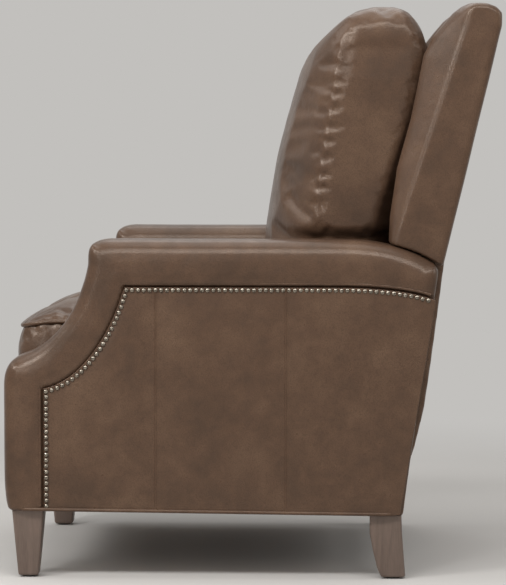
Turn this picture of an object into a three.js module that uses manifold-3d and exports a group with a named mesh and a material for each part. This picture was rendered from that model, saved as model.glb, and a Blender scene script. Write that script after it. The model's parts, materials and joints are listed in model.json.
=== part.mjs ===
// A push-back recliner with wings, scooped arms and a loose back pillow, in millimetres.
// +Z is up, the sitter faces -Y, and the origin is on the floor under the middle of the chair.
// The seat carriage rides forward on two pairs of swing links while the back tilts on it,
// and the footrest rises on a lazy-tongs linkage whose rear pins slide in upright slots.
import * as THREE from "three";
import { mergeVertices } from "three/addons/utils/BufferGeometryUtils.js";
import Module from "manifold-3d";

const wasm = await Module();
wasm.setup();

// Driving sizes. Depths are measured back from the plane of the arm fronts, heights up from the floor.
const chair = { height: 1106 };
const seatWell = { width: 540 };
const gap = 0.3;
const cutOverrun = 20;
const mergeStep = 1e-3;
const roundSteps = 3;
const curveSteps = 8;

const arm = {
  thickness: 125,
  depth: 833,
  height: 651,
  baseFront: 132,
  baseRear: 124,
  rearSlope: 67,
  postHeight: 427,
  postCorner: 14,
  postCornerDrop: 37,
  toeTuck: 12,
  toeHeight: 70,
  scoopDepth: 164,
  scoopTopDrop: 29,
  scoopTopRun: 26,
  fallRun: 193,
  rearTopDrop: 47,
  rearTopInset: 7,
  rearCornerDrop: 61,
  edgeRound: 20,
};
const scoopShares = [[0.57, 0.14], [0.87, 0.53]];
const armFallShares = [[0.48, 0.02], [0.81, 0.49]];
const rearBowShares = [0.52, 0.45];

const nailLine = { frontInset: 82, lowDrop: 65, topFrontDepth: 237, topDrop: 94, rearDrop: 120 };
const nailScoopShares = [[0.46, 0.07], [0.85, 0.55]];
const nailFallShares = [[0.5, 0.0], [0.82, 0.4]];
const sidePanel = { pocketDepth: 8, thickness: 6.5, seamWidth: 2, seamCut: 0.8 };
const seamDepthShares = [0.348, 0.648];

const armFrame = { thickness: 40, inset: 26, bar: 62, outerSkin: 45, windowCorner: 12 };

const legCorner = 5;
const legInset = 40;
const frontLeg = { topWidth: 61, footWidth: 39, topSide: 60, footSide: 38, topSetback: 14.5, footSetback: 25 };
const rearLeg = { side: 58, footSide: 40, width: 61, inset: 2 };
// Rows down the rear leg: height, then how far its front and rear faces stand ahead of its rear top edge.
const rearLegShares = [
  [1, 1, 0],
  [0.71, 1, -0.02],
  [0.44, 0.9, -0.065],
  [0.16, 0.77, -0.105],
  [0, 0.64, -0.13],
];
const glide = { radius: 14, thickness: 3, footRadius: 12, rim: 1 };

const plate = { thickness: 4, air: 1 };
const pinRadius = { swing: 4, slot: 4, tongs: 3.5, back: 6 };
const pinStandOut = 0.5;
const swing = {
  length: 90,
  lean: 20,
  behindTongs: 97,
  aheadOfBack: 160,
  height: 185,
  width: 26,
  tubeRadius: 9,
};
const basePlate = { overhang: 24, halfHeight: 20, boltRadius: 7, boltHeight: 3 };
const basePlateBoltShares = [0.4, 0.6];
const frontBaseRail = { ahead: 40, thickness: 25, rise: 3, height: 27 };
const rearBaseRail = { inset: 73, thickness: 25, rise: 6, height: 40 };

const tongs = { length: 190, closedAngle: 4.5, openTurn: 81, pivotDepth: 118, pivotDrop: 22, width: 18 };
const crossShaft = { radius: 5, standOut: 0.8 };
const carriage = {
  towerFront: 14,
  towerRear: 16,
  towerFoot: 13,
  towerHead: 12,
  stripBelowPins: 14.6,
  railLap: 25,
  eyeRadius: 15,
};
const backPivot = { inset: 113, height: 290 };

const cushion = {
  sideClear: 4,
  frontDepth: 12,
  rearClear: 20,
  bottom: 358,
  boxing: 137,
  frontSeamDrop: 17,
  frontDropRun: 110,
  crown: 34,
  corner: 34,
  bowOut: 9,
  sideBulge: 3,
};
const cushionRingSteps = { corner: 3, side: 8 };
const cushionBoxShares = [[1, 0], [0.35, 0.16], [0, 0.55], [0.35, 1]];
const cushionCrownShares = [0.04, 0.11, 0.22, 0.38, 0.6, 0.85];
const cushionCrownPower = 2.4;

const seatRail = { height: 57.7, springDrop: 8, sideThickness: 35, crossThickness: 28 };
const seatFrame = { frontClear: 19, rearClear: 30 };
const nosing = { frontDepth: 64, thickness: 11.7, sideMargin: 5 };
const seatSpring = { wireRadius: 2, waveWidth: 34 };
const seatSpringWaves = { count: 7, halfSides: 3, steps: 6 };
const springPlaceShares = [-0.3, -0.1, 0.1, 0.3];
const springNames = ["far_right", "right", "left", "far_left"];

const footPad = {
  sideClear: 8,
  frontDepth: 12,
  thickness: 45,
  height: 187,
  cushionGap: 19,
  corner: 14,
  crown: 6,
};
// Rows from the back of the pad to its face: how far it draws in, and how far it stands forward.
const footPadShares = [
  [0.5, 0],
  [0, 0.15],
  [0, 0.56],
  [0.5, 0.86],
  [2, 0.95],
  [4, 1],
];
const footBoard = { sideMargin: 16, thickness: 18, margin: 6 };
const footBracket = { flangeWidth: 24, headroom: 8 };

const back = { overhang: 124, tail: 205, armClear: 5, frameThickness: 22, frameInset: 17 };
// Side profile of the back, tail first: depth behind the arm's rear corner over the overhang, and height.
const backRearShares = [
  [-0.444, 0],
  [-0.347, 0.039],
  [-0.202, 0.123],
  [-0.121, 0.201],
  [0.056, 0.384],
  [0.153, 0.483],
  [1, 0.964],
];
const backTopShares = [
  [0.96, 0.977],
  [0.887, 0.989],
  [0.718, 0.997],
  [0.565, 1],
];
const backFrontShares = [
  [-0.766, 0],
  [-0.613, 0.105],
  [-0.54, 0.201],
  [-0.387, 0.384],
  [-0.339, 0.483],
  [0.484, 0.967],
];
const wing = { thickness: 100, armGap: 5, cornerRadius: 12, rollDepth: 34, rollFace: 36 };
const wingSteps = { corner: 2, roll: 5 };
// Rows up the wing: height, then the depths of the roll's front, the panel's crest and the rear face.
const wingShares = [
  [0.422, -0.766, -0.734, 0.04],
  [0.488, -0.742, -0.677, 0.161],
  [0.546, -0.718, -0.54, 0.262],
  [0.648, -0.605, -0.29, 0.44],
  [0.75, -0.403, -0.04, 0.617],
  [0.821, -0.298, 0.129, 0.738],
  [0.887, -0.202, 0.29, 0.851],
  [0.927, -0.056, 0.387, 0.919],
  [0.951, 0.081, 0.444, 0.964],
  [0.977, 0.242, 0.484, 0.964],
  [0.99, 0.363, 0.532, 0.879],
  [0.998, 0.484, 0.573, 0.718],
];
const pillow = { sideClear: 8, reach: 338, bottomRise: 5, topDrop: 7 };
// Rows up the pillow: height, crown of the face, front seam, rear seam and crown of the back, all as depths
// ahead of the arm's rear corner over the reach, and the half width.
const pillowShares = [
  [0, 0.734, 0.689, 0.541, 0.512, 0.573],
  [0.013, 0.896, 0.713, 0.506, 0.423, 0.84],
  [0.051, 0.976, 0.74, 0.453, 0.32, 0.95],
  [0.168, 1, 0.725, 0.417, 0.201, 0.985],
  [0.32, 0.976, 0.678, 0.352, 0.115, 1],
  [0.488, 0.926, 0.636, 0.263, 0.041, 1],
  [0.64, 0.852, 0.598, 0.172, -0.009, 1],
  [0.758, 0.79, 0.565, 0.11, 0.006, 0.992],
  [0.854, 0.716, 0.538, 0.085, 0.044, 0.977],
  [0.914, 0.642, 0.521, 0.116, 0.086, 0.95],
  [0.963, 0.556, 0.488, 0.16, 0.133, 0.9],
  [0.99, 0.476, 0.441, 0.186, 0.169, 0.83],
  [1, 0.393, 0.384, 0.24, 0.225, 0.7],
];
const pillowFace = { frontPower: 2.6, rearPower: 2, steps: 9 };
const backBracket = { flangeWidth: 34, webDepth: 22 };
const backBracketShares = [0.078, 0.217];

// Sizes that follow from the driving ones.
const chairDepth = arm.depth + back.overhang;
const frontPlane = -chairDepth / 2;
const wellSide = seatWell.width / 2;
const armOuter = wellSide + arm.thickness;
const layerPitch = plate.thickness + plate.air;
const closed = THREE.MathUtils.degToRad(tongs.closedAngle);
const opened = THREE.MathUtils.degToRad(tongs.closedAngle + tongs.openTurn);
const lean = THREE.MathUtils.degToRad(swing.lean);
const backPin = new THREE.Vector2(arm.depth - backPivot.inset, backPivot.height);
const tongsPin = new THREE.Vector2(tongs.pivotDepth, cushion.bottom - tongs.pivotDrop);
const swingDepths = [tongs.pivotDepth + swing.behindTongs, backPin.x - swing.aheadOfBack];
const seatFront = tongs.pivotDepth + seatFrame.frontClear;
const seatRear = backPin.x - seatFrame.rearClear;
const seatTop = cushion.bottom - gap;
const cushionRear = backPin.x - cushion.rearClear;
const seamHeight = cushion.bottom + cushion.boxing;
const footPadTop = cushion.bottom - footPad.cushionGap;
const backHalf = wellSide - back.armClear;
const cushionHalf = wellSide - cushion.sideClear;
const footPadHalf = wellSide - footPad.sideClear;
const pillowHalf = wellSide - pillow.sideClear;

// Steel layers count inwards from the inner face of the arm: 0 is the base plate, 2 the carriage plate.
function layer(index) {
  const outer = wellSide - gap - index * layerPitch;
  return { inner: outer - plate.thickness, outer };
}

// Finishes.
function finish(color, roughness, metalness = 0) {
  return new THREE.MeshStandardMaterial({ color, roughness, metalness });
}
const leather = finish(0x6b5446, 0.5);
const legWood = finish(0x5f5048, 0.5);
const frameWood = finish(0xb08a5e, 0.8);
const steel = finish(0x3a3b3d, 0.45, 0.9);
const springSteel = finish(0x8c8f93, 0.35, 1);
const nylon = finish(0x2a2622, 0.6);

// Solids and the frame they stand in.
function outward(geometry) {
  const flat = geometry.index ? geometry.toNonIndexed() : geometry;
  const place = flat.getAttribute("position");
  const [a, b, c] = [new THREE.Vector3(), new THREE.Vector3(), new THREE.Vector3()];
  let volume = 0;
  for (let i = 0; i < place.count; i += 3) {
    a.fromBufferAttribute(place, i);
    b.fromBufferAttribute(place, i + 1);
    c.fromBufferAttribute(place, i + 2);
    volume += a.dot(b.cross(c));
  }
  const order = volume < 0 ? [0, 2, 1] : [0, 1, 2];
  const points = new Float32Array(place.count * 3);
  for (let i = 0; i < place.count; i += 3)
    order.forEach((from, to) => {
      a.fromBufferAttribute(place, i + from);
      points.set([a.x, a.y, a.z], (i + to) * 3);
    });
  return new THREE.BufferGeometry().setAttribute("position", new THREE.BufferAttribute(points, 3));
}

function toSolid(geometry) {
  const merged = mergeVertices(outward(geometry), mergeStep);
  const corners = merged.index.array;
  const kept = [];
  for (let i = 0; i < corners.length; i += 3) {
    const [a, b, c] = corners.slice(i, i + 3);
    if (a !== b && b !== c && c !== a) kept.push(a, b, c);
  }
  return new wasm.Manifold(
    new wasm.Mesh({
      numProp: 3,
      vertProperties: merged.attributes.position.array,
      triVerts: new Uint32Array(kept),
    }),
  );
}

function toGeometry(solid) {
  const mesh = solid.getMesh();
  return new THREE.BufferGeometry()
    .setAttribute("position", new THREE.BufferAttribute(new Float32Array(mesh.vertProperties), 3))
    .setIndex(new THREE.BufferAttribute(new Uint32Array(mesh.triVerts), 1));
}

function joined(first, ...others) {
  return toGeometry(others.reduce((sum, piece) => sum.add(toSolid(piece)), toSolid(first)));
}

function cut(whole, ...tools) {
  return toGeometry(tools.reduce((rest, tool) => rest.subtract(toSolid(tool)), toSolid(whole)));
}

function common(first, second) {
  return toGeometry(toSolid(first).intersect(toSolid(second)));
}

function piece(name, geometry, material) {
  const flat = outward(geometry);
  flat.computeVertexNormals();
  const mesh = new THREE.Mesh(flat, material);
  mesh.name = name;
  return mesh;
}

function group(...members) {
  const made = new THREE.Group();
  made.add(...members.flat());
  return made;
}

function mirrored(geometry) {
  return outward(geometry).clone().scale(-1, 1, 1);
}

// A piece and its mirror image across the middle of the chair.
function pair(name, geometry, material) {
  return [piece(`left_${name}`, geometry, material), piece(`right_${name}`, mirrored(geometry), material)];
}

// A side outline is drawn with depth across and height up, and prism() gives it a width from xFrom to xTo.
// With a round, the outline given is that of the flat faces, and the rounded edge stands out all round it.
const sideOutline = new THREE.Matrix4().makeBasis(
  new THREE.Vector3(0, 1, 0),
  new THREE.Vector3(0, 0, 1),
  new THREE.Vector3(1, 0, 0),
);

function prism(shape, xFrom, xTo, round = 0) {
  const body = new THREE.ExtrudeGeometry(shape, {
    depth: xTo - xFrom - 2 * round,
    bevelEnabled: round > 0,
    bevelThickness: round,
    bevelSize: round,
    bevelSegments: roundSteps,
    curveSegments: curveSteps,
  });
  body.translate(0, 0, xFrom + round).applyMatrix4(sideOutline).translate(0, frontPlane, 0);
  return outward(body);
}

function block(xFrom, xTo, depthFrom, depthTo, heightFrom, heightTo) {
  return new THREE.BoxGeometry(xTo - xFrom, depthTo - depthFrom, heightTo - heightFrom).translate(
    (xFrom + xTo) / 2,
    frontPlane + (depthFrom + depthTo) / 2,
    (heightFrom + heightTo) / 2,
  );
}

// A round bar along X at a depth and height.
function crossBar(xFrom, xTo, at, radius, sides = 12) {
  return new THREE.CylinderGeometry(radius, radius, xTo - xFrom, sides)
    .rotateZ(Math.PI / 2)
    .translate((xFrom + xTo) / 2, frontPlane + at.x, at.y);
}

function polygon(points) {
  return new THREE.Shape(points.map(([x, y]) => new THREE.Vector2(x, y)));
}

function roundHole(at, radius) {
  return new THREE.Path().absarc(at.x, at.y, radius, 0, 2 * Math.PI, true);
}

// An upright slot between two places, as wide as twice its radius.
function slotHole(low, high, radius) {
  const hole = new THREE.Path();
  hole.absarc(high.x, high.y, radius, 0, Math.PI, false);
  hole.absarc(low.x, low.y, radius, Math.PI, 2 * Math.PI, false);
  return hole;
}

// A flat link with round ends from one pivot to another.
function link(from, to, width, holes = []) {
  const along = new THREE.Vector2().subVectors(to, from).angle();
  const shape = new THREE.Shape();
  shape.absarc(from.x, from.y, width / 2, along + Math.PI / 2, along + (3 * Math.PI) / 2, false);
  shape.absarc(to.x, to.y, width / 2, along - Math.PI / 2, along + Math.PI / 2, false);
  shape.holes.push(...holes.map(({ at, radius }) => roundHole(at, radius + gap)));
  return shape;
}

// Skin over a stack of closed rings of equal length, with flat fans over the first and last.
function loft(rings) {
  const size = rings[0].length;
  const points = [];
  const middle = (ring) =>
    ring.reduce((sum, p) => sum.add(p), new THREE.Vector3()).divideScalar(ring.length);
  const triangle = (a, b, c) => points.push(a.x, a.y, a.z, b.x, b.y, b.z, c.x, c.y, c.z);
  for (let row = 0; row < rings.length - 1; row++)
    for (let i = 0; i < size; i++) {
      const next = (i + 1) % size;
      triangle(rings[row][i], rings[row][next], rings[row + 1][next]);
      triangle(rings[row][i], rings[row + 1][next], rings[row + 1][i]);
    }
  const first = middle(rings[0]);
  const last = middle(rings.at(-1));
  for (let i = 0; i < size; i++) {
    const next = (i + 1) % size;
    triangle(first, rings[0][next], rings[0][i]);
    triangle(last, rings.at(-1)[i], rings.at(-1)[next]);
  }
  return new THREE.BufferGeometry().setAttribute("position", new THREE.Float32BufferAttribute(points, 3));
}

// A rectangle with round corners at one height, as a ring of points.
function roundedRing(xFrom, xTo, depthFrom, depthTo, corner, height, steps = 3) {
  const ring = [];
  const centres = [
    [xTo - corner, depthTo - corner],
    [xFrom + corner, depthTo - corner],
    [xFrom + corner, depthFrom + corner],
    [xTo - corner, depthFrom + corner],
  ];
  centres.forEach(([x, y], quarter) => {
    for (let i = 0; i <= steps; i++) {
      const turn = (quarter + i / steps) * (Math.PI / 2);
      ring.push(
        new THREE.Vector3(x + corner * Math.cos(turn), frontPlane + y + corner * Math.sin(turn), height),
      );
    }
  });
  return ring;
}

// Arms: the outline of the scooped arm, drawn in by a margin all round.
function drawScoop(shape, from, to, shares) {
  const at = (share) => [from[0] + (to[0] - from[0]) * share[0], from[1] + (to[1] - from[1]) * share[1]];
  shape.bezierCurveTo(...at(shares[0]), ...at(shares[1]), ...to);
}

function armOutline(margin = 0, footDrop = 0) {
  const shape = new THREE.Shape();
  const scoopFoot = [arm.postCorner + margin, arm.postHeight - margin];
  const scoopHead = [arm.scoopDepth + margin, arm.height - arm.scoopTopDrop - margin];
  const fallStart = [arm.depth - arm.fallRun, arm.height - margin];
  const fallEnd = [arm.depth - arm.rearTopInset - margin, arm.height - arm.rearTopDrop - margin];
  const rearTop = [arm.depth - margin, arm.height - arm.rearCornerDrop - margin];
  const rearFoot = [arm.depth - arm.rearSlope - margin, arm.baseRear + margin - footDrop];
  shape.moveTo(arm.toeTuck + margin, arm.baseFront + margin - footDrop);
  shape.quadraticCurveTo(margin, arm.baseFront + margin, margin, arm.baseFront + arm.toeHeight);
  shape.lineTo(margin, arm.postHeight - arm.postCornerDrop - margin);
  shape.quadraticCurveTo(margin, arm.postHeight - arm.postCorner / 2 - margin, ...scoopFoot);
  drawScoop(shape, scoopFoot, scoopHead, scoopShares);
  shape.quadraticCurveTo(
    arm.scoopDepth + margin,
    arm.height - margin,
    arm.scoopDepth + arm.scoopTopRun + margin,
    arm.height - margin,
  );
  shape.lineTo(...fallStart);
  drawScoop(shape, fallStart, fallEnd, armFallShares);
  shape.quadraticCurveTo(rearTop[0], fallEnd[1], ...rearTop);
  shape.quadraticCurveTo(
    rearFoot[0] + (rearTop[0] - rearFoot[0]) * rearBowShares[1],
    rearFoot[1] + (rearTop[1] - rearFoot[1]) * rearBowShares[0],
    ...rearFoot,
  );
  return shape;
}

// The panel inside the nail line. It runs on to the foot and the rear edge of the arm.
function panelOutline(margin, overrun) {
  const shape = new THREE.Shape();
  const low = [nailLine.frontInset + margin, arm.postHeight - nailLine.lowDrop - margin];
  const high = [nailLine.topFrontDepth + margin, arm.height - nailLine.topDrop - margin];
  const fallStart = [arm.depth - arm.fallRun, arm.height - nailLine.topDrop - margin];
  const rear = [arm.depth + overrun, arm.height - nailLine.rearDrop - margin];
  shape.moveTo(nailLine.frontInset + margin, arm.baseRear - overrun);
  shape.lineTo(...low);
  drawScoop(shape, low, high, nailScoopShares);
  shape.lineTo(...fallStart);
  drawScoop(shape, fallStart, rear, nailFallShares);
  shape.lineTo(arm.depth + overrun, arm.baseRear - overrun);
  return shape;
}

function makeArms() {
  const pocketFloor = armOuter - sidePanel.pocketDepth;
  const trueOutline = prism(armOutline(), wellSide, armOuter);
  const drawnIn = armOutline(arm.edgeRound - gap, 2 * arm.edgeRound, 2 * arm.edgeRound);
  const rounded = prism(drawnIn, wellSide, armOuter, arm.edgeRound);
  const pocket = prism(panelOutline(0, cutOverrun), pocketFloor, armOuter + cutOverrun);
  const frameOuter = armOuter - armFrame.outerSkin;
  const frameInner = frameOuter - armFrame.thickness;
  const cavity = prism(
    armOutline(armFrame.inset - gap, armFrame.inset + cutOverrun),
    frameInner - gap,
    frameOuter + gap,
  );
  const pad = cut(common(rounded, trueOutline), pocket, cavity);

  const panelBlank = common(
    prism(panelOutline(gap, cutOverrun), pocketFloor + gap, pocketFloor + gap + sidePanel.thickness),
    prism(armOutline(), wellSide, armOuter),
  );
  const panelFace = pocketFloor + gap + sidePanel.thickness;
  const seams = seamDepthShares.map((share) =>
    block(
      panelFace - sidePanel.seamCut,
      panelFace + cutOverrun,
      share * arm.depth - sidePanel.seamWidth / 2,
      share * arm.depth + sidePanel.seamWidth / 2,
      arm.baseRear - cutOverrun,
      arm.height,
    ),
  );
  return [
    ...pair("arm_pad", pad, leather),
    ...pair("side_panel", cut(panelBlank, ...seams), leather),
    ...pair("arm_frame", makeArmFrame(frameInner, frameOuter), frameWood),
  ];
}

// Plywood arm frame: the arm's outline drawn in, with three windows between its posts and rails.
function makeArmFrame(xFrom, xTo) {
  const whole = armOutline(armFrame.inset, armFrame.inset);
  const low = arm.baseFront + armFrame.bar;
  const lowRoof = arm.postHeight - armFrame.inset - armFrame.bar;
  const highRoof = arm.height - armFrame.inset - armFrame.bar;
  const rear = arm.depth - arm.rearSlope - armFrame.inset - armFrame.bar;
  const front = armFrame.inset + armFrame.bar;
  const behindScoop = arm.scoopDepth + armFrame.bar + armFrame.inset;
  const middle = (behindScoop + rear) / 2;
  const windows = [
    [front, behindScoop - armFrame.bar, low, lowRoof],
    [behindScoop, middle - armFrame.bar / 2, low, highRoof],
    [middle + armFrame.bar / 2, rear, low, highRoof - armFrame.bar / 2],
  ];
  const windowTools = windows.map(([near, far, floor, roof]) =>
    prism(
      polygon([
        [near, floor],
        [far, floor],
        [far, roof],
        [near + armFrame.windowCorner, roof],
        [near, roof - armFrame.windowCorner],
      ]),
      xFrom - cutOverrun,
      xTo + cutOverrun,
    ),
  );
  return cut(prism(whole, xFrom, xTo), ...windowTools);
}

// Height of the sloping underside of the arm at a depth.
function armFloor(depth) {
  const rear = arm.depth - arm.rearSlope;
  return THREE.MathUtils.mapLinear(depth, arm.toeTuck, rear, arm.baseFront, arm.baseRear);
}

// Legs and their nail-on glides.
function makeLegs() {
  const centre = armOuter - legInset;
  const foot = glide.thickness + gap;
  const ring = (side, from, to, height) =>
    roundedRing(centre - side / 2, centre + side / 2, from, to, legCorner, height);
  const frontTop = armFloor(frontLeg.topSetback + frontLeg.topWidth) - gap;
  const frontRings = [
    ring(frontLeg.footSide, frontLeg.footSetback, frontLeg.footSetback + frontLeg.footWidth, foot),
    ring(frontLeg.topSide, frontLeg.topSetback, frontLeg.topSetback + frontLeg.topWidth, frontTop),
  ];
  const rearEdge = arm.depth - arm.rearSlope - rearLeg.inset;
  const rearTop = armFloor(rearEdge) - gap;
  const rearRings = rearLegShares.map(([up, ahead, behind]) =>
    ring(
      THREE.MathUtils.lerp(rearLeg.footSide, rearLeg.side, up),
      rearEdge - ahead * rearLeg.width,
      rearEdge - behind * rearLeg.width,
      THREE.MathUtils.lerp(foot, rearTop, up),
    ),
  );
  const [, footAhead, footBehind] = rearLegShares.at(-1);
  const rearFoot = rearEdge - ((footAhead + footBehind) / 2) * rearLeg.width;
  const glideProfile = [
    [0, glide.thickness],
    [glide.radius, glide.thickness],
    [glide.radius, glide.thickness - glide.rim],
    [glide.footRadius, 0],
    [0, 0],
  ].map(([x, y]) => new THREE.Vector2(x, y));
  const glideAt = (depth) =>
    new THREE.LatheGeometry(glideProfile, 14).rotateX(Math.PI / 2).translate(centre, frontPlane + depth, 0);
  return [
    ...pair("front_leg", loft(frontRings), legWood),
    ...pair("rear_leg", loft(rearRings), legWood),
    ...pair("front_glide", glideAt(frontLeg.footSetback + frontLeg.footWidth / 2), nylon),
    ...pair("rear_glide", glideAt(rearFoot), nylon),
  ];
}

// Rails across the bottom of the chair and the steel plates that carry the swing links.
function makeBase() {
  const side = wellSide - gap;
  const from = swingDepths[0] - basePlate.overhang;
  const to = swingDepths[1] + basePlate.overhang;
  const outline = polygon([
    [from, swing.height - basePlate.halfHeight],
    [to, swing.height - basePlate.halfHeight],
    [to, swing.height + basePlate.halfHeight],
    [from, swing.height + basePlate.halfHeight],
  ]);
  for (const depth of swingDepths)
    outline.holes.push(roundHole(new THREE.Vector2(depth, swing.height), pinRadius.swing + gap));
  const { inner, outer } = layer(0);
  const bolts = basePlateBoltShares.map((share) =>
    crossBar(
      inner - basePlate.boltHeight,
      outer,
      new THREE.Vector2(THREE.MathUtils.lerp(from, to, share), swing.height),
      basePlate.boltRadius,
      6,
    ),
  );
  const frontRailRear = from - frontBaseRail.ahead + frontBaseRail.thickness;
  const frontRailFloor = arm.baseFront + frontBaseRail.rise;
  const rearRailRear = arm.depth - rearBaseRail.inset;
  const rearRailFloor = arm.baseRear + rearBaseRail.rise;
  const rail = (rear, { thickness, height }, floor) =>
    block(-side, side, rear - thickness, rear, floor, floor + height);
  return [
    piece("front_base_rail", rail(frontRailRear, frontBaseRail, frontRailFloor), frameWood),
    piece("rear_base_rail", rail(rearRailRear, rearBaseRail, rearRailFloor), frameWood),
    ...pair("base_plate", joined(prism(outline, inner, outer), ...bolts), steel),
  ];
}

// Swing links: each leans back at rest and swings forward about its lower pin.
function swingPivots(depth) {
  const low = new THREE.Vector2(depth, swing.height);
  const high = new THREE.Vector2(
    depth + swing.length * Math.sin(lean),
    swing.height + swing.length * Math.cos(lean),
  );
  return { low, high };
}

function makeSwing(name, depth) {
  const { low, high } = swingPivots(depth);
  const { inner, outer } = layer(1);
  const bar = joined(
    prism(link(low, high, swing.width), inner, outer),
    crossBar(inner, layer(0).outer - pinStandOut / 2, low, pinRadius.swing),
    crossBar(layer(2).inner - pinStandOut, outer, high, pinRadius.swing),
  );
  const tube = crossBar(-inner + gap, inner - gap, low, swing.tubeRadius, 16);
  return [...pair(`${name}_swing_link`, bar, steel), piece(`${name}_torque_tube`, tube, steel)];
}

// Footrest linkage. The tongs angle runs from the upright closed bars to the nearly level open ones.
function tongsPlaces(angle) {
  const reach = tongs.length * Math.sin(angle);
  const drop = tongs.length * Math.cos(angle);
  const fixed = tongsPin;
  const at = (forward, down) => new THREE.Vector2(fixed.x - forward, fixed.y - down);
  return {
    fixed,
    slot: at(0, drop),
    cross: at(reach / 2, drop / 2),
    head: at(reach, 0),
    knee: at(reach, drop),
    mid: at(1.5 * reach, drop / 2),
    toe: at(2 * reach, drop),
  };
}

function makeFootrestLinks() {
  const { fixed, slot, cross, head, knee, mid } = tongsPlaces(closed);
  const drive = layer(3);
  const lift = layer(4);
  const bracket = layer(5);
  const stay = layer(6);
  const pin = pinRadius.tongs;
  const driveLink = joined(
    prism(link(fixed, knee, tongs.width, [{ at: fixed, radius: crossShaft.radius }]), drive.inner, drive.outer),
    crossBar(lift.inner - plate.air / 2, drive.outer, cross, pin),
    crossBar(stay.inner - plate.air / 2, drive.outer, knee, pin),
  );
  const liftLink = joined(
    prism(link(slot, head, tongs.width, [{ at: cross, radius: pin }]), lift.inner, lift.outer),
    crossBar(lift.inner, layer(2).outer + pinStandOut, slot, pinRadius.slot),
    crossBar(bracket.inner - plate.air / 2, lift.outer, head, pin),
  );
  const stayLink = prism(
    link(knee, mid, tongs.width, [
      { at: knee, radius: pin },
      { at: mid, radius: pin },
    ]),
    stay.inner,
    stay.outer,
  );
  const shaftEnd = layer(2).outer + crossShaft.standOut;
  return [
    ...pair("drive_link", driveLink, steel),
    piece("footrest_cross_shaft", crossBar(-shaftEnd, shaftEnd, fixed, crossShaft.radius), steel),
    ...pair("lift_link", liftLink, steel),
    ...pair("stay_link", stayLink, steel),
  ];
}

// Footrest: a padded board on two steel brackets, each of which is the front bar of the tongs.
function makeFootrest() {
  const { head, mid, toe } = tongsPlaces(closed);
  const bracket = layer(5);
  const stay = layer(6);
  const boardFront = footPad.frontDepth + footPad.thickness + gap;
  const boardBack = boardFront + footBoard.thickness;
  const flangeFront = boardBack + gap;
  const half = tongs.width / 2;
  const web = new THREE.Shape();
  web.moveTo(flangeFront, head.y - footBracket.headroom);
  web.lineTo(flangeFront, toe.y + footBracket.headroom);
  web.lineTo(toe.x, toe.y - half);
  web.absarc(toe.x, toe.y, half, -Math.PI / 2, 0, false);
  web.absarc(head.x, head.y, half, 0, Math.PI, false);
  web.holes.push(roundHole(head, pinRadius.tongs + gap));
  const flange = block(
    stay.inner - footBracket.flangeWidth,
    bracket.outer,
    flangeFront,
    flangeFront + plate.thickness,
    toe.y + footBracket.headroom,
    head.y - footBracket.headroom,
  );
  const midPin = crossBar(stay.inner - plate.air / 2, bracket.outer, mid, pinRadius.tongs);
  const boardHalf = footPadHalf - footBoard.sideMargin;
  const board = block(
    -boardHalf,
    boardHalf,
    boardFront,
    boardBack,
    footPadTop - footPad.height + footBoard.margin,
    footPadTop - footBoard.margin,
  );
  return [
    ...pair("footrest_bracket", joined(prism(web, bracket.inner, bracket.outer), flange, midPin), steel),
    piece("footrest_board", board, frameWood),
    piece("footrest_pad", makeFootPad(), leather),
  ];
}

// The pad is drawn lying down, face up, and then stood on edge with its face forward.
function makeFootPad() {
  const halfHeight = footPad.height / 2;
  const rings = footPadShares.map(([inset, up]) => {
    const drawn = inset * footPad.corner;
    return roundedRing(
      drawn - footPadHalf,
      footPadHalf - drawn,
      drawn - halfHeight,
      halfHeight - drawn,
      footPad.corner,
      up * footPad.thickness,
    );
  });
  return loft(rings)
    .translate(0, -frontPlane, 0)
    .rotateX(Math.PI / 2)
    .translate(0, frontPlane + footPad.frontDepth + footPad.thickness, footPadTop - halfHeight);
}

// Seat carriage: a steel plate each side, slotted for the footrest, and a sprung wooden seat frame.
function makeCarriagePlates() {
  const { fixed, slot } = tongsPlaces(closed);
  const slotTop = tongsPlaces(opened).slot;
  const [frontPin, rearPin] = swingDepths.map((depth) => swingPivots(depth).high);
  const front = tongs.pivotDepth - carriage.towerFront;
  const rear = tongs.pivotDepth + carriage.towerRear;
  const stripBottom = frontPin.y - carriage.stripBelowPins;
  const stripTop = seatTop - seatRail.height + carriage.railLap;
  const shape = new THREE.Shape();
  shape.moveTo(front, slot.y - carriage.towerFoot);
  shape.lineTo(rear, slot.y - carriage.towerFoot);
  shape.lineTo(rear, stripBottom);
  shape.lineTo(seatRear, stripBottom);
  shape.lineTo(backPin.x, backPin.y - carriage.eyeRadius);
  shape.absarc(backPin.x, backPin.y, carriage.eyeRadius, -Math.PI / 2, Math.PI / 2, false);
  shape.lineTo(seatRear, stripTop);
  shape.lineTo(rear, stripTop);
  shape.lineTo(rear, fixed.y + carriage.towerHead);
  shape.lineTo(front, fixed.y + carriage.towerHead);
  shape.holes.push(
    roundHole(fixed, crossShaft.radius + gap),
    slotHole(slot, slotTop, pinRadius.slot + gap),
    roundHole(frontPin, pinRadius.swing + gap),
    roundHole(rearPin, pinRadius.swing + gap),
    roundHole(backPin, pinRadius.back + gap),
  );
  const { inner, outer } = layer(2);
  return pair("carriage_plate", prism(shape, inner, outer), steel);
}

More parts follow.
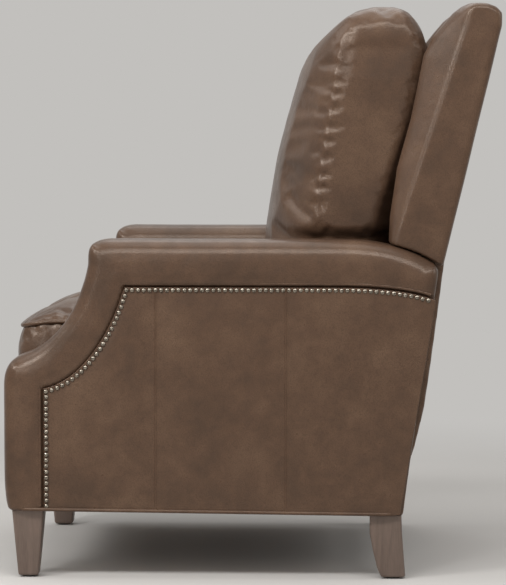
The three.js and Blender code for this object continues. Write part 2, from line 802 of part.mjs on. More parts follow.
function makeSeatFrame() {
  const outer = layer(2).inner - gap;
  const inner = outer - seatRail.sideThickness;
  const cross = inner - gap;
  const floor = seatTop - seatRail.height;
  const springSeat = seatTop - seatRail.springDrop;
  const rail = (from) => block(-cross, cross, from, from + seatRail.crossThickness, floor, springSeat);
  const nosingHalf = outer - nosing.sideMargin;
  const nosingFloor = seatTop - nosing.thickness;
  return [
    ...pair("seat_side_rail", block(inner, outer, seatFront, seatRear, floor, seatTop), frameWood),
    piece("seat_front_rail", rail(seatFront), frameWood),
    piece("seat_rear_rail", rail(seatRear - seatRail.crossThickness), frameWood),
    piece(
      "seat_nosing",
      block(-nosingHalf, nosingHalf, nosing.frontDepth, seatFront - gap, nosingFloor, seatTop),
      frameWood,
    ),
    ...springPlaceShares.map((share, i) =>
      piece(`seat_spring_${springNames[i]}`, makeSeatSpring(share * seatWell.width, springSeat), springSteel),
    ),
  ];
}

// A sinuous spring: one wire that waves from side to side between the front and rear rails of the seat.
class WavyWire extends THREE.Curve {
  constructor(place, from, to, height) {
    super();
    Object.assign(this, { place, from, to, height });
  }
  getPoint(t, target = new THREE.Vector3()) {
    const sway = (seatSpring.waveWidth / 2) * Math.sin(2 * Math.PI * seatSpringWaves.count * t);
    return target.set(this.place + sway, THREE.MathUtils.lerp(this.from, this.to, t), this.height);
  }
}

function makeSeatSpring(place, seat) {
  const radius = seatSpring.wireRadius;
  const from = frontPlane + seatFront + seatRail.crossThickness / 2;
  const to = frontPlane + seatRear - seatRail.crossThickness / 2;
  const section = new THREE.Shape();
  section.absarc(0, 0, radius, 0, 2 * Math.PI, false);
  return new THREE.ExtrudeGeometry(section, {
    extrudePath: new WavyWire(place, from, to, seat + gap + radius),
    steps: seatSpringWaves.count * seatSpringWaves.steps,
    curveSegments: seatSpringWaves.halfSides,
    bevelEnabled: false,
  });
}

// Seat cushion: flat below, a boxed side that swells a little, and a crowned top whose front edge bows out.
function makeSeatCushion() {
  const box = cushionBoxShares.map(([drawn, lift]) => cushionRing(drawn * cushion.corner / 2, lift, 0));
  const crown = cushionCrownShares.map((share) =>
    cushionRing(share * cushionHalf, 1, cushion.crown * Math.sqrt(1 - (1 - share) ** cushionCrownPower)),
  );
  return loft([...box, ...crown]);
}

function cushionRing(inset, lift, rise) {
  const half = cushionHalf - cushion.sideBulge * Math.abs(2 * lift - 1) - inset;
  const front = cushion.frontDepth + cushion.bowOut + inset;
  const corner = Math.min(cushion.corner, half / 2);
  const ring = roundedRing(-half, half, front, cushionRear - inset, corner, 0, cushionRingSteps.corner);
  return densified(ring, cushionRingSteps.corner + 1, cushionRingSteps.side).map(({ x, y }) => {
    const depth = y - frontPlane - cushion.frontDepth;
    const nearFront = Math.max(0, 1 - depth / cushion.frontDropRun);
    const seam = seamHeight - cushion.frontSeamDrop * nearFront ** 2;
    const bow = cushion.bowOut * nearFront * (1 - (x / half) ** 2);
    return new THREE.Vector3(x, y - bow, THREE.MathUtils.lerp(cushion.bottom, seam, lift) + rise);
  });
}

// Adds points along the straight sides of a round-cornered ring, so that it can follow a crown.
function densified(ring, cornerPoints, pieces) {
  return ring.flatMap((p, i) => {
    const next = ring[(i + 1) % ring.length];
    const count = (i + 1) % cornerPoints === 0 ? pieces : 1;
    return Array.from({ length: count }, (_, k) => p.clone().lerp(next, k / count));
  });
}

// Back: one upholstered shell between the arms, with a wooden frame inside it.
function backPoint([behind, up]) {
  return [arm.depth + behind * back.overhang, back.tail + up * (chair.height - back.tail)];
}

function backFrameOutline(margin, drop) {
  const rear = backRearShares.map((share) => {
    const [depth, height] = backPoint(share);
    return [depth - back.frameInset + margin, height];
  });
  const top = rear.at(-1);
  top[0] -= back.frameInset / 2;
  top[1] -= back.frameInset - margin;
  if (drop > 0) rear.unshift([rear[0][0], rear[0][1] - drop]);
  const front = rear.map(([depth, height]) => [depth - back.frameThickness - 2 * margin, height]);
  return polygon([...rear, ...front.reverse()]);
}

function makeBackFrame(half) {
  const bar = armFrame.bar;
  const low = back.tail + bar;
  const top = backPoint(backRearShares.at(-1))[1] - bar - back.frameInset;
  const middle = (top + low) / 2;
  const window = (from, to) => block(bar - half, half - bar, backPin.x, chairDepth, from, to);
  return cut(
    prism(backFrameOutline(0, 0), -half, half),
    window(low, middle - bar / 2),
    window(middle + bar / 2, top),
  );
}

function makeBack() {
  const outline = polygon([...backRearShares, ...backTopShares, ...backFrontShares.toReversed()].map(backPoint));
  const frameHalf = backHalf - back.frameInset;
  const cavity = prism(backFrameOutline(gap, cutOverrun), -frameHalf - gap, frameHalf + gap);
  return [
    piece("back_shell", cut(prism(outline, -backHalf, backHalf), cavity), leather),
    piece("back_frame", makeBackFrame(frameHalf), frameWood),
    ...pair("wing", makeWing(), leather),
    ...pair("back_bracket", makeBackBracket(), steel),
    piece("back_pillow", makePillow(), leather),
  ];
}

// Wing: a padded panel beside the shell with a thick roll along its front, cut away over the arm.
function makeWing() {
  const inner = backHalf + gap;
  const outer = backHalf + wing.thickness;
  const nose = outer - wing.rollFace;
  const quarter = (steps, draw) => Array.from({ length: steps + 1 }, (_, i) => draw((i / steps) * (Math.PI / 2)));
  const rings = wingShares.map(([up, ...behind]) => {
    const [front, crest, rear] = behind.map((share) => backPoint([share, 0])[0]);
    const radius = Math.min(wing.cornerRadius, (rear - crest) / 2);
    const innerRoll = Math.min(wing.rollDepth, (rear - front) / 2);
    const outline = [
      [inner, rear],
      ...quarter(wingSteps.corner, (turn) => [
        outer - radius * (1 - Math.sin(turn)),
        rear - radius * (1 - Math.cos(turn)),
      ]),
      ...quarter(wingSteps.roll, (turn) => [
        nose + (outer - nose) * Math.cos(turn),
        crest - (crest - front) * Math.sin(turn),
      ]),
      ...quarter(wingSteps.roll, (turn) => [
        nose - (nose - inner) * Math.sin(turn),
        front + innerRoll * (1 - Math.cos(turn)),
      ]).slice(1),
    ];
    const height = backPoint([0, up])[1];
    return outline.map(([x, depth]) => new THREE.Vector3(x, frontPlane + depth, height));
  });
  return cut(loft(rings), prism(underWing(), wellSide - cutOverrun, armOuter + cutOverrun));
}

// What the wing is cut away over: the top of the arm and its gap, carried on behind the arm at the same slope.
function underWing() {
  const start = new THREE.Vector2(arm.depth - arm.fallRun, arm.height + wing.armGap);
  const end = new THREE.Vector2(
    arm.depth - arm.rearTopInset + wing.armGap,
    arm.height - arm.rearTopDrop + wing.armGap,
  );
  const [lastAcross, lastDown] = armFallShares.at(-1);
  const slope = ((1 - lastDown) * (end.y - start.y)) / ((1 - lastAcross) * (end.x - start.x));
  const shape = new THREE.Shape();
  shape.moveTo(0, 0);
  shape.lineTo(0, start.y);
  shape.lineTo(start.x, start.y);
  drawScoop(shape, [start.x, start.y], [end.x, end.y], armFallShares);
  shape.lineTo(chairDepth, end.y + slope * (chairDepth - end.x));
  shape.lineTo(chairDepth, 0);
  return shape;
}

// Bracket: a web beside the pivot and a flange that bolts to the front of the shell.
function makeBackBracket() {
  const { inner, outer } = layer(3);
  const [footShare, headShare] = backBracketShares;
  const face = (share) => {
    const above = backFrontShares.findIndex(([, up]) => up > share);
    const [low, high] = [backFrontShares[above - 1], backFrontShares[above]];
    const [depth, height] = backPoint([THREE.MathUtils.mapLinear(share, low[1], high[1], low[0], high[0]), share]);
    return [depth - gap, height];
  };
  const between = backFrontShares.map(([, up]) => up).filter((up) => up > footShare && up < headShare);
  const seat = [footShare, ...between, headShare].map(face);
  const [headDepth, headHeight] = seat.at(-1);
  const web = polygon([
    ...seat,
    [headDepth - backBracket.webDepth, headHeight],
    [backPin.x - carriage.eyeRadius, backPin.y + carriage.eyeRadius],
    [backPin.x - carriage.eyeRadius, seat[0][1]],
  ]);
  const flange = polygon([
    ...seat,
    ...seat.map(([depth, height]) => [depth - plate.thickness, height]).reverse(),
  ]);
  return joined(
    prism(web, inner, outer),
    prism(flange, inner - backBracket.flangeWidth, outer),
    crossBar(inner, layer(2).outer + pinStandOut, backPin, pinRadius.back, 16),
  );
}

// Loose back pillow: boxed sides, with a deep crown in front and a shallower one behind.
// It stands on the seat cushion, so its underside takes that cushion's shape.
function makePillow() {
  const bottom = seamHeight + pillow.bottomRise;
  const top = chair.height - pillow.topDrop;
  const { frontPower, rearPower, steps } = pillowFace;
  const rings = pillowShares.map(([up, face, frontSeam, rearSeam, heel, wide]) => {
    const half = wide * pillowHalf;
    const outline = [];
    for (const [seam, crown, side, power] of [[frontSeam, face, -1, frontPower], [rearSeam, heel, 1, rearPower]])
      for (let i = 0; i <= steps; i++) {
        const across = side * Math.cos((i / steps) * Math.PI);
        const ahead = THREE.MathUtils.lerp(seam, crown, (1 - Math.abs(across) ** power) ** (1 / power));
        outline.push([across * half, arm.depth - ahead * pillow.reach]);
      }
    const height = THREE.MathUtils.lerp(bottom, top, up);
    return outline.map(([x, depth]) => new THREE.Vector3(x, frontPlane + depth, height));
  });
  return cut(loft(rings), makeSeatCushion().translate(0, 0, gap));
}

const recliner = group(
  group(makeArms(), makeLegs(), makeBase()),
  group(makeSwing("front", swingDepths[0]), makeSwing("rear", swingDepths[1])),
  group(makeCarriagePlates(), makeSeatFrame(), piece("seat_cushion", makeSeatCushion(), leather)),
  group(makeFootrestLinks(), makeFootrest()),
  group(makeBack()),
);

export default recliner;
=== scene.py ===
import json
import math

import bpy
import numpy as np
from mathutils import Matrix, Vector, noise
from mathutils.bvhtree import BVHTree
from mathutils.kdtree import KDTree


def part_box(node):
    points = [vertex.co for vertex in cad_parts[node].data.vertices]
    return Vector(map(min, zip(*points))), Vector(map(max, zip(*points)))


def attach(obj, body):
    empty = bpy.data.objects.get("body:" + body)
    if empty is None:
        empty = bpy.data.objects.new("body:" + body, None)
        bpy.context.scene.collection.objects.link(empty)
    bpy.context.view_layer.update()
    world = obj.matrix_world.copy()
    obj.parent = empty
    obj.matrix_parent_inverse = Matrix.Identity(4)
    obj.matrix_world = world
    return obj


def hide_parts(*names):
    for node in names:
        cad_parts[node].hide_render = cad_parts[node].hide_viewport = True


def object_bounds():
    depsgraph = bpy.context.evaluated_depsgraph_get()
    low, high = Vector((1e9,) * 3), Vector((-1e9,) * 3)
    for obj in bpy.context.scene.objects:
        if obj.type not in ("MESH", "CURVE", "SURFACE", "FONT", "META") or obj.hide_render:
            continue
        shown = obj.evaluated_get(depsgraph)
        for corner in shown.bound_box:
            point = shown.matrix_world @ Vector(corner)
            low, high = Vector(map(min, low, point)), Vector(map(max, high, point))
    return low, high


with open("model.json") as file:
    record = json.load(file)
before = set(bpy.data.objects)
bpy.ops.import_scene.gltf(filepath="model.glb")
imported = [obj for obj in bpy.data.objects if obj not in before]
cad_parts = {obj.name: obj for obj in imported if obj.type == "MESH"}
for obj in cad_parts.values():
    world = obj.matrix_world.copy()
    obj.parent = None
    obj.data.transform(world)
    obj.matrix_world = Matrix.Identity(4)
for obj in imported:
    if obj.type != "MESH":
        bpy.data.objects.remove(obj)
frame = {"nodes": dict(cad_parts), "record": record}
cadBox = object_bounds()
cadNodes = frame["nodes"]
chairFront = cadBox[0][1]  # depths below are metres behind this plane
print("frame loaded:", len(cadNodes), "nodes")


# Small tools

def deselectAll():
    if bpy.context.object and bpy.context.object.mode != "OBJECT":
        bpy.ops.object.mode_set(mode="OBJECT")
    bpy.ops.object.select_all(action="DESELECT")


def pick(*pieces):
    deselectAll()
    for piece in pieces:
        piece.select_set(True)
    bpy.context.view_layer.objects.active = pieces[0]


def editAll(piece):
    # into edit mode, with the whole piece selected
    pick(piece)
    bpy.ops.object.mode_set(mode="EDIT")
    bpy.ops.mesh.select_all(action="SELECT")


def leaveEdit():
    bpy.ops.object.mode_set(mode="OBJECT")


def applyModifier(piece, kind, **settings):
    pick(piece)
    modifier = piece.modifiers.new(kind.lower(), kind)
    for key, value in settings.items():
        setattr(modifier, key, value)
    bpy.ops.object.modifier_apply(modifier=modifier.name)


def readPoints(piece):
    points = np.empty(len(piece.data.vertices) * 3)
    piece.data.vertices.foreach_get("co", points)
    return points.reshape(-1, 3)


def writePoints(piece, points):
    piece.data.vertices.foreach_set("co", np.asarray(points, float).ravel())
    piece.data.update()


def pushOut(piece, heights):
    normals = np.empty(len(piece.data.vertices) * 3)
    piece.data.vertex_normals.foreach_get("vector", normals)
    writePoints(piece, readPoints(piece) + normals.reshape(-1, 3) * np.reshape(heights, (-1, 1)))


def joinInto(name, pieces):
    pick(*pieces)
    if len(pieces) > 1:
        bpy.ops.object.join()
    joined = bpy.context.object
    joined.name = joined.data.name = name
    return joined


def shadeSmooth(piece, angle=None):
    pick(piece)
    if angle is None:
        bpy.ops.object.shade_smooth()
    else:
        bpy.ops.object.shade_smooth_by_angle(angle=math.radians(angle))


def settle(piece):
    # the place goes into the mesh, and the object sits at the origin
    pick(piece)
    bpy.ops.object.transform_apply(location=True, rotation=True, scale=True)


def softStep(values, start, end):
    t = np.clip((np.asarray(values, float) - start) / (end - start), 0, 1)
    return t * t * (3 - 2 * t)


def lumps(points, size, seed):
    # a smooth value from -1 to 1 at each point, with lumps of about that size
    offset = Vector((seed, seed * 1.7, seed * 2.3))
    return np.array([noise.noise(Vector(p) / size + offset) for p in points])


def waver(places, size, seed):
    # the same along a line
    return np.array([noise.noise(Vector((s / size, seed, seed * 1.3))) for s in places])


def bezier(start, firstPull, lastPull, end, steps):
    t = np.linspace(0, 1, steps + 1)[:, None]
    a, b, c, d = (np.array(p, float) for p in (start, firstPull, lastPull, end))
    return a * (1 - t) ** 3 + 3 * b * t * (1 - t) ** 2 + 3 * c * t ** 2 * (1 - t) + d * t ** 3


def evenly(points, pitch, closed=False):
    # points along a line at about that pitch, and their distance along it
    points = np.asarray(points, float)
    if closed:
        points = np.vstack([points, points[:1]])
    run = np.concatenate([[0], np.cumsum(np.linalg.norm(np.diff(points, axis=0), axis=1))])
    places = np.linspace(0, run[-1], max(2, round(run[-1] / pitch) + 1))
    if closed:
        places = places[:-1]
    return np.stack([np.interp(places, run, points[:, k]) for k in range(points.shape[1])], 1), places


def treeOf(points):
    tree = KDTree(len(points))
    for i, p in enumerate(points):
        tree.insert(p, i)
    tree.balance()
    return tree


def nearest(line, points):
    # how far each point is from a line, and which of the line's points is nearest
    tree = treeOf(line)
    found = [tree.find(p) for p in points]
    return np.array([f[2] for f in found]), np.array([f[1] for f in found])


finePitch = 0.002  # metres between the points of a line that distances are taken from


def alongSeam(points, seam, closed=False):
    # for each point: how far it is from the seam, and how far along the seam it lies
    line, places = evenly(seam, finePitch, closed)
    away, which = nearest(line, points)
    return away, places[which]


def surfaceOf(piece):
    corners = [vertex.co.copy() for vertex in piece.data.vertices]
    return BVHTree.FromPolygons(corners, [tuple(face.vertices) for face in piece.data.polygons])


def piping(name, points, radius, closed):
    # a cord covered in leather, along those points
    deselectAll()
    bpy.ops.curve.primitive_nurbs_path_add()
    data = bpy.context.object.data
    data.splines.clear()
    spline = data.splines.new("POLY")
    spline.points.add(len(points) - 1)
    for point, place in zip(spline.points, points):
        point.co = (*place, 1)
    spline.use_cyclic_u = closed
    data.bevel_depth = radius
    data.bevel_resolution = 3
    data.use_fill_caps = not closed
    bpy.ops.object.convert(target="MESH")
    cord = bpy.context.object
    settle(cord)
    cord.name = cord.data.name = name
    shadeSmooth(cord)
    return cord


# Camera

photo = dict(width=506, height=585)
viewpoint = dict(
    place=(6.091, 0.190, 0.918),
    lensPixels=2994,
    acrossMeet=(352.4, 100.7),  # pixel where lines that run across the chair meet
    sensor=36,
)


def makeCamera():
    data = bpy.data.cameras.new("camera")
    camera = bpy.data.objects.new("camera", data)
    bpy.context.scene.collection.objects.link(camera)
    data.sensor_width = viewpoint["sensor"]
    data.lens = viewpoint["lensPixels"] * viewpoint["sensor"] / photo["height"]
    data.clip_end = 50
    right = viewpoint["acrossMeet"][0] - photo["width"] / 2
    up = photo["height"] / 2 - viewpoint["acrossMeet"][1]
    yaw = math.atan2(right, viewpoint["lensPixels"])
    pitch = math.atan2(up, math.hypot(viewpoint["lensPixels"], right))
    camera.location = viewpoint["place"]
    camera.rotation_euler = (math.pi / 2 - pitch, 0, math.pi / 2 + yaw)
    bpy.context.scene.camera = camera


makeCamera()


# Materials

def linear(code):
    channels = [int(code[i:i + 2], 16) / 255 for i in (0, 2, 4)]
    return (*[c / 12.92 if c <= 0.04045 else ((c + 0.055) / 1.055) ** 2.4 for c in channels], 1.0)


def addNode(tree, kind, links=(), inputs=(), **settings):
    node = tree.nodes.new(kind)
    for key, value in settings.items():
        setattr(node, key, value)
    for socket, value in dict(inputs).items():
        node.inputs[socket].default_value = value
    for socket, source in dict(links).items():
        tree.links.new(source, node.inputs[socket])
    return node


def newMaterial(name, **sockets):
    material = bpy.data.materials.new(name)
    material.use_nodes = True
    tree = material.node_tree
    shader = tree.nodes["Principled BSDF"]
    for socket, value in sockets.items():
        shader.inputs[socket].default_value = value
    place = addNode(tree, "ShaderNodeTexCoord").outputs["Object"]
    return material, tree, shader, place


def colourSteps(tree, factor, stops):
    node = addNode(tree, "ShaderNodeValToRGB", {"Fac": factor})
    elements = node.color_ramp.elements
    while len(elements) < len(stops):
        elements.new(0.5)
    for element, (position, code) in zip(elements, stops):
        element.position = position
        element.color = linear(code)
    return node.outputs["Color"]


leatherFinish = dict(
    dark="49372b", mid="543f31", light="604a3a", pore="32241b",
    cloud=0.13,      # metres across the clouds of the dye
    mottle=0.030,    # and across the spots in them
    grain=0.0022,    # the pebble of the grain, drawn about twice as coarse as it is
    crease=0.045,    # across the soft folds of the hide
    roughness=0.31,
)


def waxedLeather(name, finish):
    # full-grain hide, aniline dyed and waxed: cloudy brown, a fine pebble, and a broad soft sheen
    material, tree, shader, place = newMaterial(name, IOR=1.43)
    shader.inputs["Specular Tint"].default_value = linear("fff0e2")
    cloud = addNode(tree, "ShaderNodeTexNoise", {"Vector": place},
                    {"Scale": 1 / finish["cloud"], "Detail": 4.0, "Roughness": 0.5, "Distortion": 0.4})
    mottle = addNode(tree, "ShaderNodeTexNoise", {"Vector": place},
                     {"Scale": 1 / finish["mottle"], "Detail": 5.0, "Roughness": 0.6})
    blend = addNode(tree, "ShaderNodeMix", {"A": cloud.outputs["Fac"], "B": mottle.outputs["Fac"]},
                    {"Factor": 0.38})
    dye = colourSteps(tree, blend.outputs["Result"],
                      [(0.37, finish["dark"]), (0.5, finish["mid"]), (0.64, finish["light"])])
    pebble = addNode(tree, "ShaderNodeTexVoronoi", {"Vector": place},
                     {"Scale": 1 / finish["grain"], "Smoothness": 0.6}, feature="SMOOTH_F1")
    valley = addNode(tree, "ShaderNodeMapRange", {"Value": pebble.outputs["Distance"]},
                     {"From Min": 0.35, "From Max": 0.8, "To Min": 0.0, "To Max": 0.35})
    # a colour Mix has its factor at 0, its colours at 6 and 7, and its result at 2
    darker = addNode(tree, "ShaderNodeMix", {6: dye, 0: valley.outputs["Result"]},
                     {7: linear(finish["pore"])}, data_type="RGBA")
    tree.links.new(darker.outputs[2], shader.inputs["Base Color"])
    wax = addNode(tree, "ShaderNodeMapRange", {"Value": mottle.outputs["Fac"]},
                  {"From Min": 0.3, "From Max": 0.7, "To Min": finish["roughness"] + 0.05,
                   "To Max": finish["roughness"] - 0.04})
    tree.links.new(wax.outputs["Result"], shader.inputs["Roughness"])
    crease = addNode(tree, "ShaderNodeTexNoise", {"Vector": place},
                     {"Scale": 1 / finish["crease"], "Detail": 7.0, "Roughness": 0.62, "Distortion": 0.5})
    pore = addNode(tree, "ShaderNodeTexNoise", {"Vector": place},
                   {"Scale": 0.7 / finish["grain"], "Detail": 2.0})
    folds = addNode(tree, "ShaderNodeBump", {"Height": crease.outputs["Fac"]},
                    {"Strength": 0.22, "Distance": 0.004})
    pores = addNode(tree, "ShaderNodeBump",
                    {"Height": pore.outputs["Fac"], "Normal": folds.outputs["Normal"]},
                    {"Strength": 0.2, "Distance": 0.0005})
    grain = addNode(tree, "ShaderNodeBump",
                    {"Height": pebble.outputs["Distance"], "Normal": pores.outputs["Normal"]},
                    {"Strength": 0.25, "Distance": 0.0005}, invert=True)
    tree.links.new(grain.outputs["Normal"], shader.inputs["Normal"])
    return material


def stainedMaple(name):
    # maple under a grey-brown stain and satin lacquer: faint straight grain down the leg
    material, tree, shader, place = newMaterial(name, IOR=1.5, Roughness=0.4)
    along = addNode(tree, "ShaderNodeMapping", {"Vector": place},
                    {"Scale": (1.0, 1.0, 0.06)}).outputs["Vector"]
    grain = addNode(tree, "ShaderNodeTexNoise", {"Vector": along},
                    {"Scale": 420.0, "Detail": 5.0, "Roughness": 0.6})
    figure = addNode(tree, "ShaderNodeTexNoise", {"Vector": along},
                     {"Scale": 60.0, "Detail": 3.0, "Distortion": 0.8})
    both = addNode(tree, "ShaderNodeMix", {"A": figure.outputs["Fac"], "B": grain.outputs["Fac"]},
                   {"Factor": 0.4})
    stain = colourSteps(tree, both.outputs["Result"],
                        [(0.32, "5a4a41"), (0.5, "66564c"), (0.7, "725f55")])
    tree.links.new(stain, shader.inputs["Base Color"])
    bump = addNode(tree, "ShaderNodeBump", {"Height": grain.outputs["Fac"]},
                   {"Strength": 0.1, "Distance": 0.0003})
    tree.links.new(bump.outputs["Normal"], shader.inputs["Normal"])
    return material


def sawnHardwood(name):
    # the frame's rails and boards: pale, matt, with long grain and saw texture
    material, tree, shader, place = newMaterial(name, Roughness=0.72)
    along = addNode(tree, "ShaderNodeMapping", {"Vector": place},
                    {"Scale": (0.15, 1.0, 1.0)}).outputs["Vector"]
    grain = addNode(tree, "ShaderNodeTexNoise", {"Vector": along},
                    {"Scale": 130.0, "Detail": 6.0, "Roughness": 0.6, "Distortion": 0.9})
    timber = colourSteps(tree, grain.outputs["Fac"], [(0.34, "97724b"), (0.64, "c3a077")])
    tree.links.new(timber, shader.inputs["Base Color"])
    bump = addNode(tree, "ShaderNodeBump", {"Height": grain.outputs["Fac"]},
                   {"Strength": 0.2, "Distance": 0.0005})
    tree.links.new(bump.outputs["Normal"], shader.inputs["Normal"])
    return material


def metal(name, dark, light, scale, smoothest, roughest, metallic):
    # streaky tone and gloss, as rolling, plating or wear leaves them
    material, tree, shader, place = newMaterial(name, Metallic=metallic)
    streak = addNode(tree, "ShaderNodeTexNoise", {"Vector": place},
                     {"Scale": scale, "Detail": 5.0, "Roughness": 0.62})
    tone = colourSteps(tree, streak.outputs["Fac"], [(0.32, dark), (0.66, light)])
    tree.links.new(tone, shader.inputs["Base Color"])
    gloss = addNode(tree, "ShaderNodeMapRange", {"Value": streak.outputs["Fac"]},
                    {"From Min": 0.3, "From Max": 0.7, "To Min": roughest, "To Max": smoothest})
    tree.links.new(gloss.outputs["Result"], shader.inputs["Roughness"])
    return material


def mouldedNylon(name):
    # near-black moulded nylon, waxy and scuffed
    material, tree, shader, place = newMaterial(name, Roughness=0.5)
    scuff = addNode(tree, "ShaderNodeTexNoise", {"Vector": place}, {"Scale": 240.0, "Detail": 4.0})
    tone = colourSteps(tree, scuff.outputs["Fac"], [(0.4, "24201d"), (0.7, "3a3530")])
    tree.links.new(tone, shader.inputs["Base Color"])
    return material


leather = waxedLeather("waxed full-grain leather", leatherFinish)
nailMetal = metal("aged nickel nail caps", "4c443b", "a59c8f", 330.0, 0.2, 0.34, 1.0)
slotMaterials = dict(
    leather=leather,
    leg_wood=stainedMaple("stained maple"),
    frame_wood=sawnHardwood("sawn hardwood"),
    # black-oxide strip steel with a film of oil
    mechanism_steel=metal("blackened strip steel", "232527", "3d3f42", 90.0, 0.3, 0.52, 0.85),
    # drawn and zinc-plated wire, bright and finely scratched
    spring_steel=metal("zinc-plated spring wire", "7a7d80", "a5a8ab", 420.0, 0.3, 0.42, 1.0),
    glide_nylon=mouldedNylon("moulded nylon"),
)
for part in frame["record"]["subparts"]:
    for materialSlot in cadNodes[part["node"]].material_slots:
        materialSlot.material = slotMaterials[part["material_slot"]]
print("materials made")


def dress(piece, material, body):
    piece.data.materials.clear()
    piece.data.materials.append(material)
    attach(piece, body)


# Upholstery

def copyOf(node, name):
    piece = bpy.data.objects.new(name, cadNodes[node].data.copy())
    bpy.context.scene.collection.objects.link(piece)
    editAll(piece)
    bpy.ops.mesh.remove_doubles(threshold=1e-5)
    leaveEdit()
    return piece


def evenFaces(piece, voxel, smoothing, regain):
    # even faces all over, edges eased, and pushed out by what the easing takes away
    applyModifier(piece, "REMESH", mode="VOXEL", voxel_size=voxel)
    applyModifier(piece, "SMOOTH", factor=0.5, iterations=smoothing)
    pushOut(piece, np.full(len(piece.data.vertices), regain))
    return piece


def cover(piece, nodes, body):
    shadeSmooth(piece)
    dress(piece, leather, body)
    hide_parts(*nodes)
    return piece


hideCloth = dict(frames=20, quality=5, mass=0.4, stretch=16, shear=8, bending=0.5, holdSteps=20)


def inflate(piece, held, caps, look):
    # held is how firmly each point stays put, from 0 to 1, and caps how far it may move
    before = readPoints(piece)
    group = piece.vertex_groups.new(name="held")
    steps = np.round(held * hideCloth["holdSteps"]) / hideCloth["holdSteps"]
    for level in np.unique(steps):
        group.add([int(i) for i in np.flatnonzero(steps == level)], float(level), "REPLACE")
    pick(piece)
    modifier = piece.modifiers.new("cloth", "CLOTH")
    settings = modifier.settings
    settings.quality = hideCloth["quality"]
    settings.mass = hideCloth["mass"]
    settings.tension_stiffness = settings.compression_stiffness = hideCloth["stretch"]
    settings.shear_stiffness = hideCloth["shear"]
    settings.bending_stiffness = hideCloth["bending"]
    settings.vertex_group_mass = "held"
    settings.pin_stiffness = 1.0
    settings.use_pressure = True
    settings.uniform_pressure_force = look["pressure"]
    settings.shrink_min = -look["slack"]
    settings.effector_weights.gravity = 0
    modifier.collision_settings.use_collision = False
    modifier.point_cache.frame_start = 1
    modifier.point_cache.frame_end = hideCloth["frames"]
    for step in range(1, hideCloth["frames"] + 1):
        bpy.context.scene.frame_set(step)
    bpy.ops.object.modifier_apply(modifier=modifier.name)
    bpy.context.scene.frame_set(1)
    moved = readPoints(piece) - before
    length = np.linalg.norm(moved, axis=1)
    share = np.minimum(1, caps / np.maximum(length, 1e-9))
    writePoints(piece, before + moved * share[:, None])
    piece.vertex_groups.clear()


def heldNear(distances, look):
    # the stitching holds the hide near a seam
    holds = [look["hold"] * np.exp(-(away / look["holdWidth"]) ** 2) for away in distances]
    return np.clip(sum(holds), 0, 1)


# how uneven the gathers are, and over how many gathers that comes and goes
gatherForm = dict(
    drift=0.8, driftRun=2.6, main=0.75, fine=0.35, fineRun=0.6,
    reachChange=0.7, reachRun=1.9, depth=0.8, depthChange=0.8, depthRun=3.1,
)


def pucker(piece, seam, closed, look, seed, share=1.0):
    # the seam draws in, and gathers of uneven width run out from it and die away
    form, pitch = gatherForm, look["gatherPitch"]
    away, along = alongSeam(readPoints(piece), seam, closed)
    drift = form["drift"] * waver(along, pitch * form["driftRun"], seed)
    wave = np.cos(2 * math.pi * (along / pitch + drift))
    wave = form["main"] * wave + form["fine"] * waver(along, pitch * form["fineRun"], seed + 9)
    reach = look["gatherReach"] * (1 + form["reachChange"] * waver(along, pitch * form["reachRun"], seed + 4))
    depth = form["depth"] + form["depthChange"] * waver(along, pitch * form["depthRun"], seed + 2)
    heights = look["gather"] * wave * depth * np.exp(-away / reach)
    heights -= look["draw"] * np.exp(-(away / look["drawWidth"]) ** 2)
    pushOut(piece, heights * share)


# Arms

armSizes = dict(
    outer=0.395, thickness=0.125, depth=0.833, height=0.651, bottomFront=0.132, bottomRear=0.124,
    nailInset=0.082, nailLow=0.362, nailTopDepth=0.237, nailTop=0.557,
    fallStart=0.640, nailRear=0.531, rearSlope=0.067,
    nailLowPull=(0.46, 0.07), nailHighPull=(0.85, 0.55),
    nailFallPull=(0.5, 0.0), nailRearPull=(0.82, 0.4),
    scoopSteps=40, fallSteps=24,
)
armLook = dict(
    voxel=0.0042, smoothing=5, regain=0.0008, foam=0.0009, foamSize=0.13,
    fillerGrow=1.003, fillerSunk=0.0006,  # the plug in the panel's pocket, a shade large and low
    outlineStep=0.003, outlineNeighbours=12,
    # radius of the padded edges along the top, front and rear, and the outward slopes they change over
    crown=0.036, crownFront=0.011, crownRear=0.007, frontToTop=(0.45, 1.0), topToRear=(0.55, 0.95),
    crownEase=14,
    corner=(0.170, 0.642), cornerPush=(0, -0.0062, 0.0042), cornerSpread=0.024,
    # depth and lift along the top, and the heights that the lift comes in over
    rearLift=((0.66, 0.0), (0.736, 0.0035), (0.783, 0.0065), (0.8125, 0.0085), (0.84, 0.009)),
    liftHeights=(0.50, 0.58),
    # on the outer face, and measured inwards from the nail line
    faceBand=0.016, borderRoll=0.0022, rollSpan=(-0.034, -0.010), sunk=0.0085, sunkSpan=(-0.0120, -0.0075),
)
panelLook = dict(
    face=0.3912, thick=0.0045, edge=0.0014, under=0.0052, bottomGap=0.001, rearGap=0.0055,
    swell=0.0009, swellSpan=(0.004, 0.05), foamSpan=(0.0, 0.04),
    weave=0.0055, nominalHeight=0.41,
    # rows of points in from an edge: shares of its rounding, then metres
    edgeShares=(0, 0.12, 0.3, 0.6, 1.0), edgeRows=(0.0021, 0.0028, 0.0036, 0.0046), innerGap=0.002,
    seamDepths=(0.290, 0.540), seamStep=0.0008, seamLap=0.004,
    seamRidge=0.0016, ridgePlace=0.0022, ridgeWidth=0.0015,
)
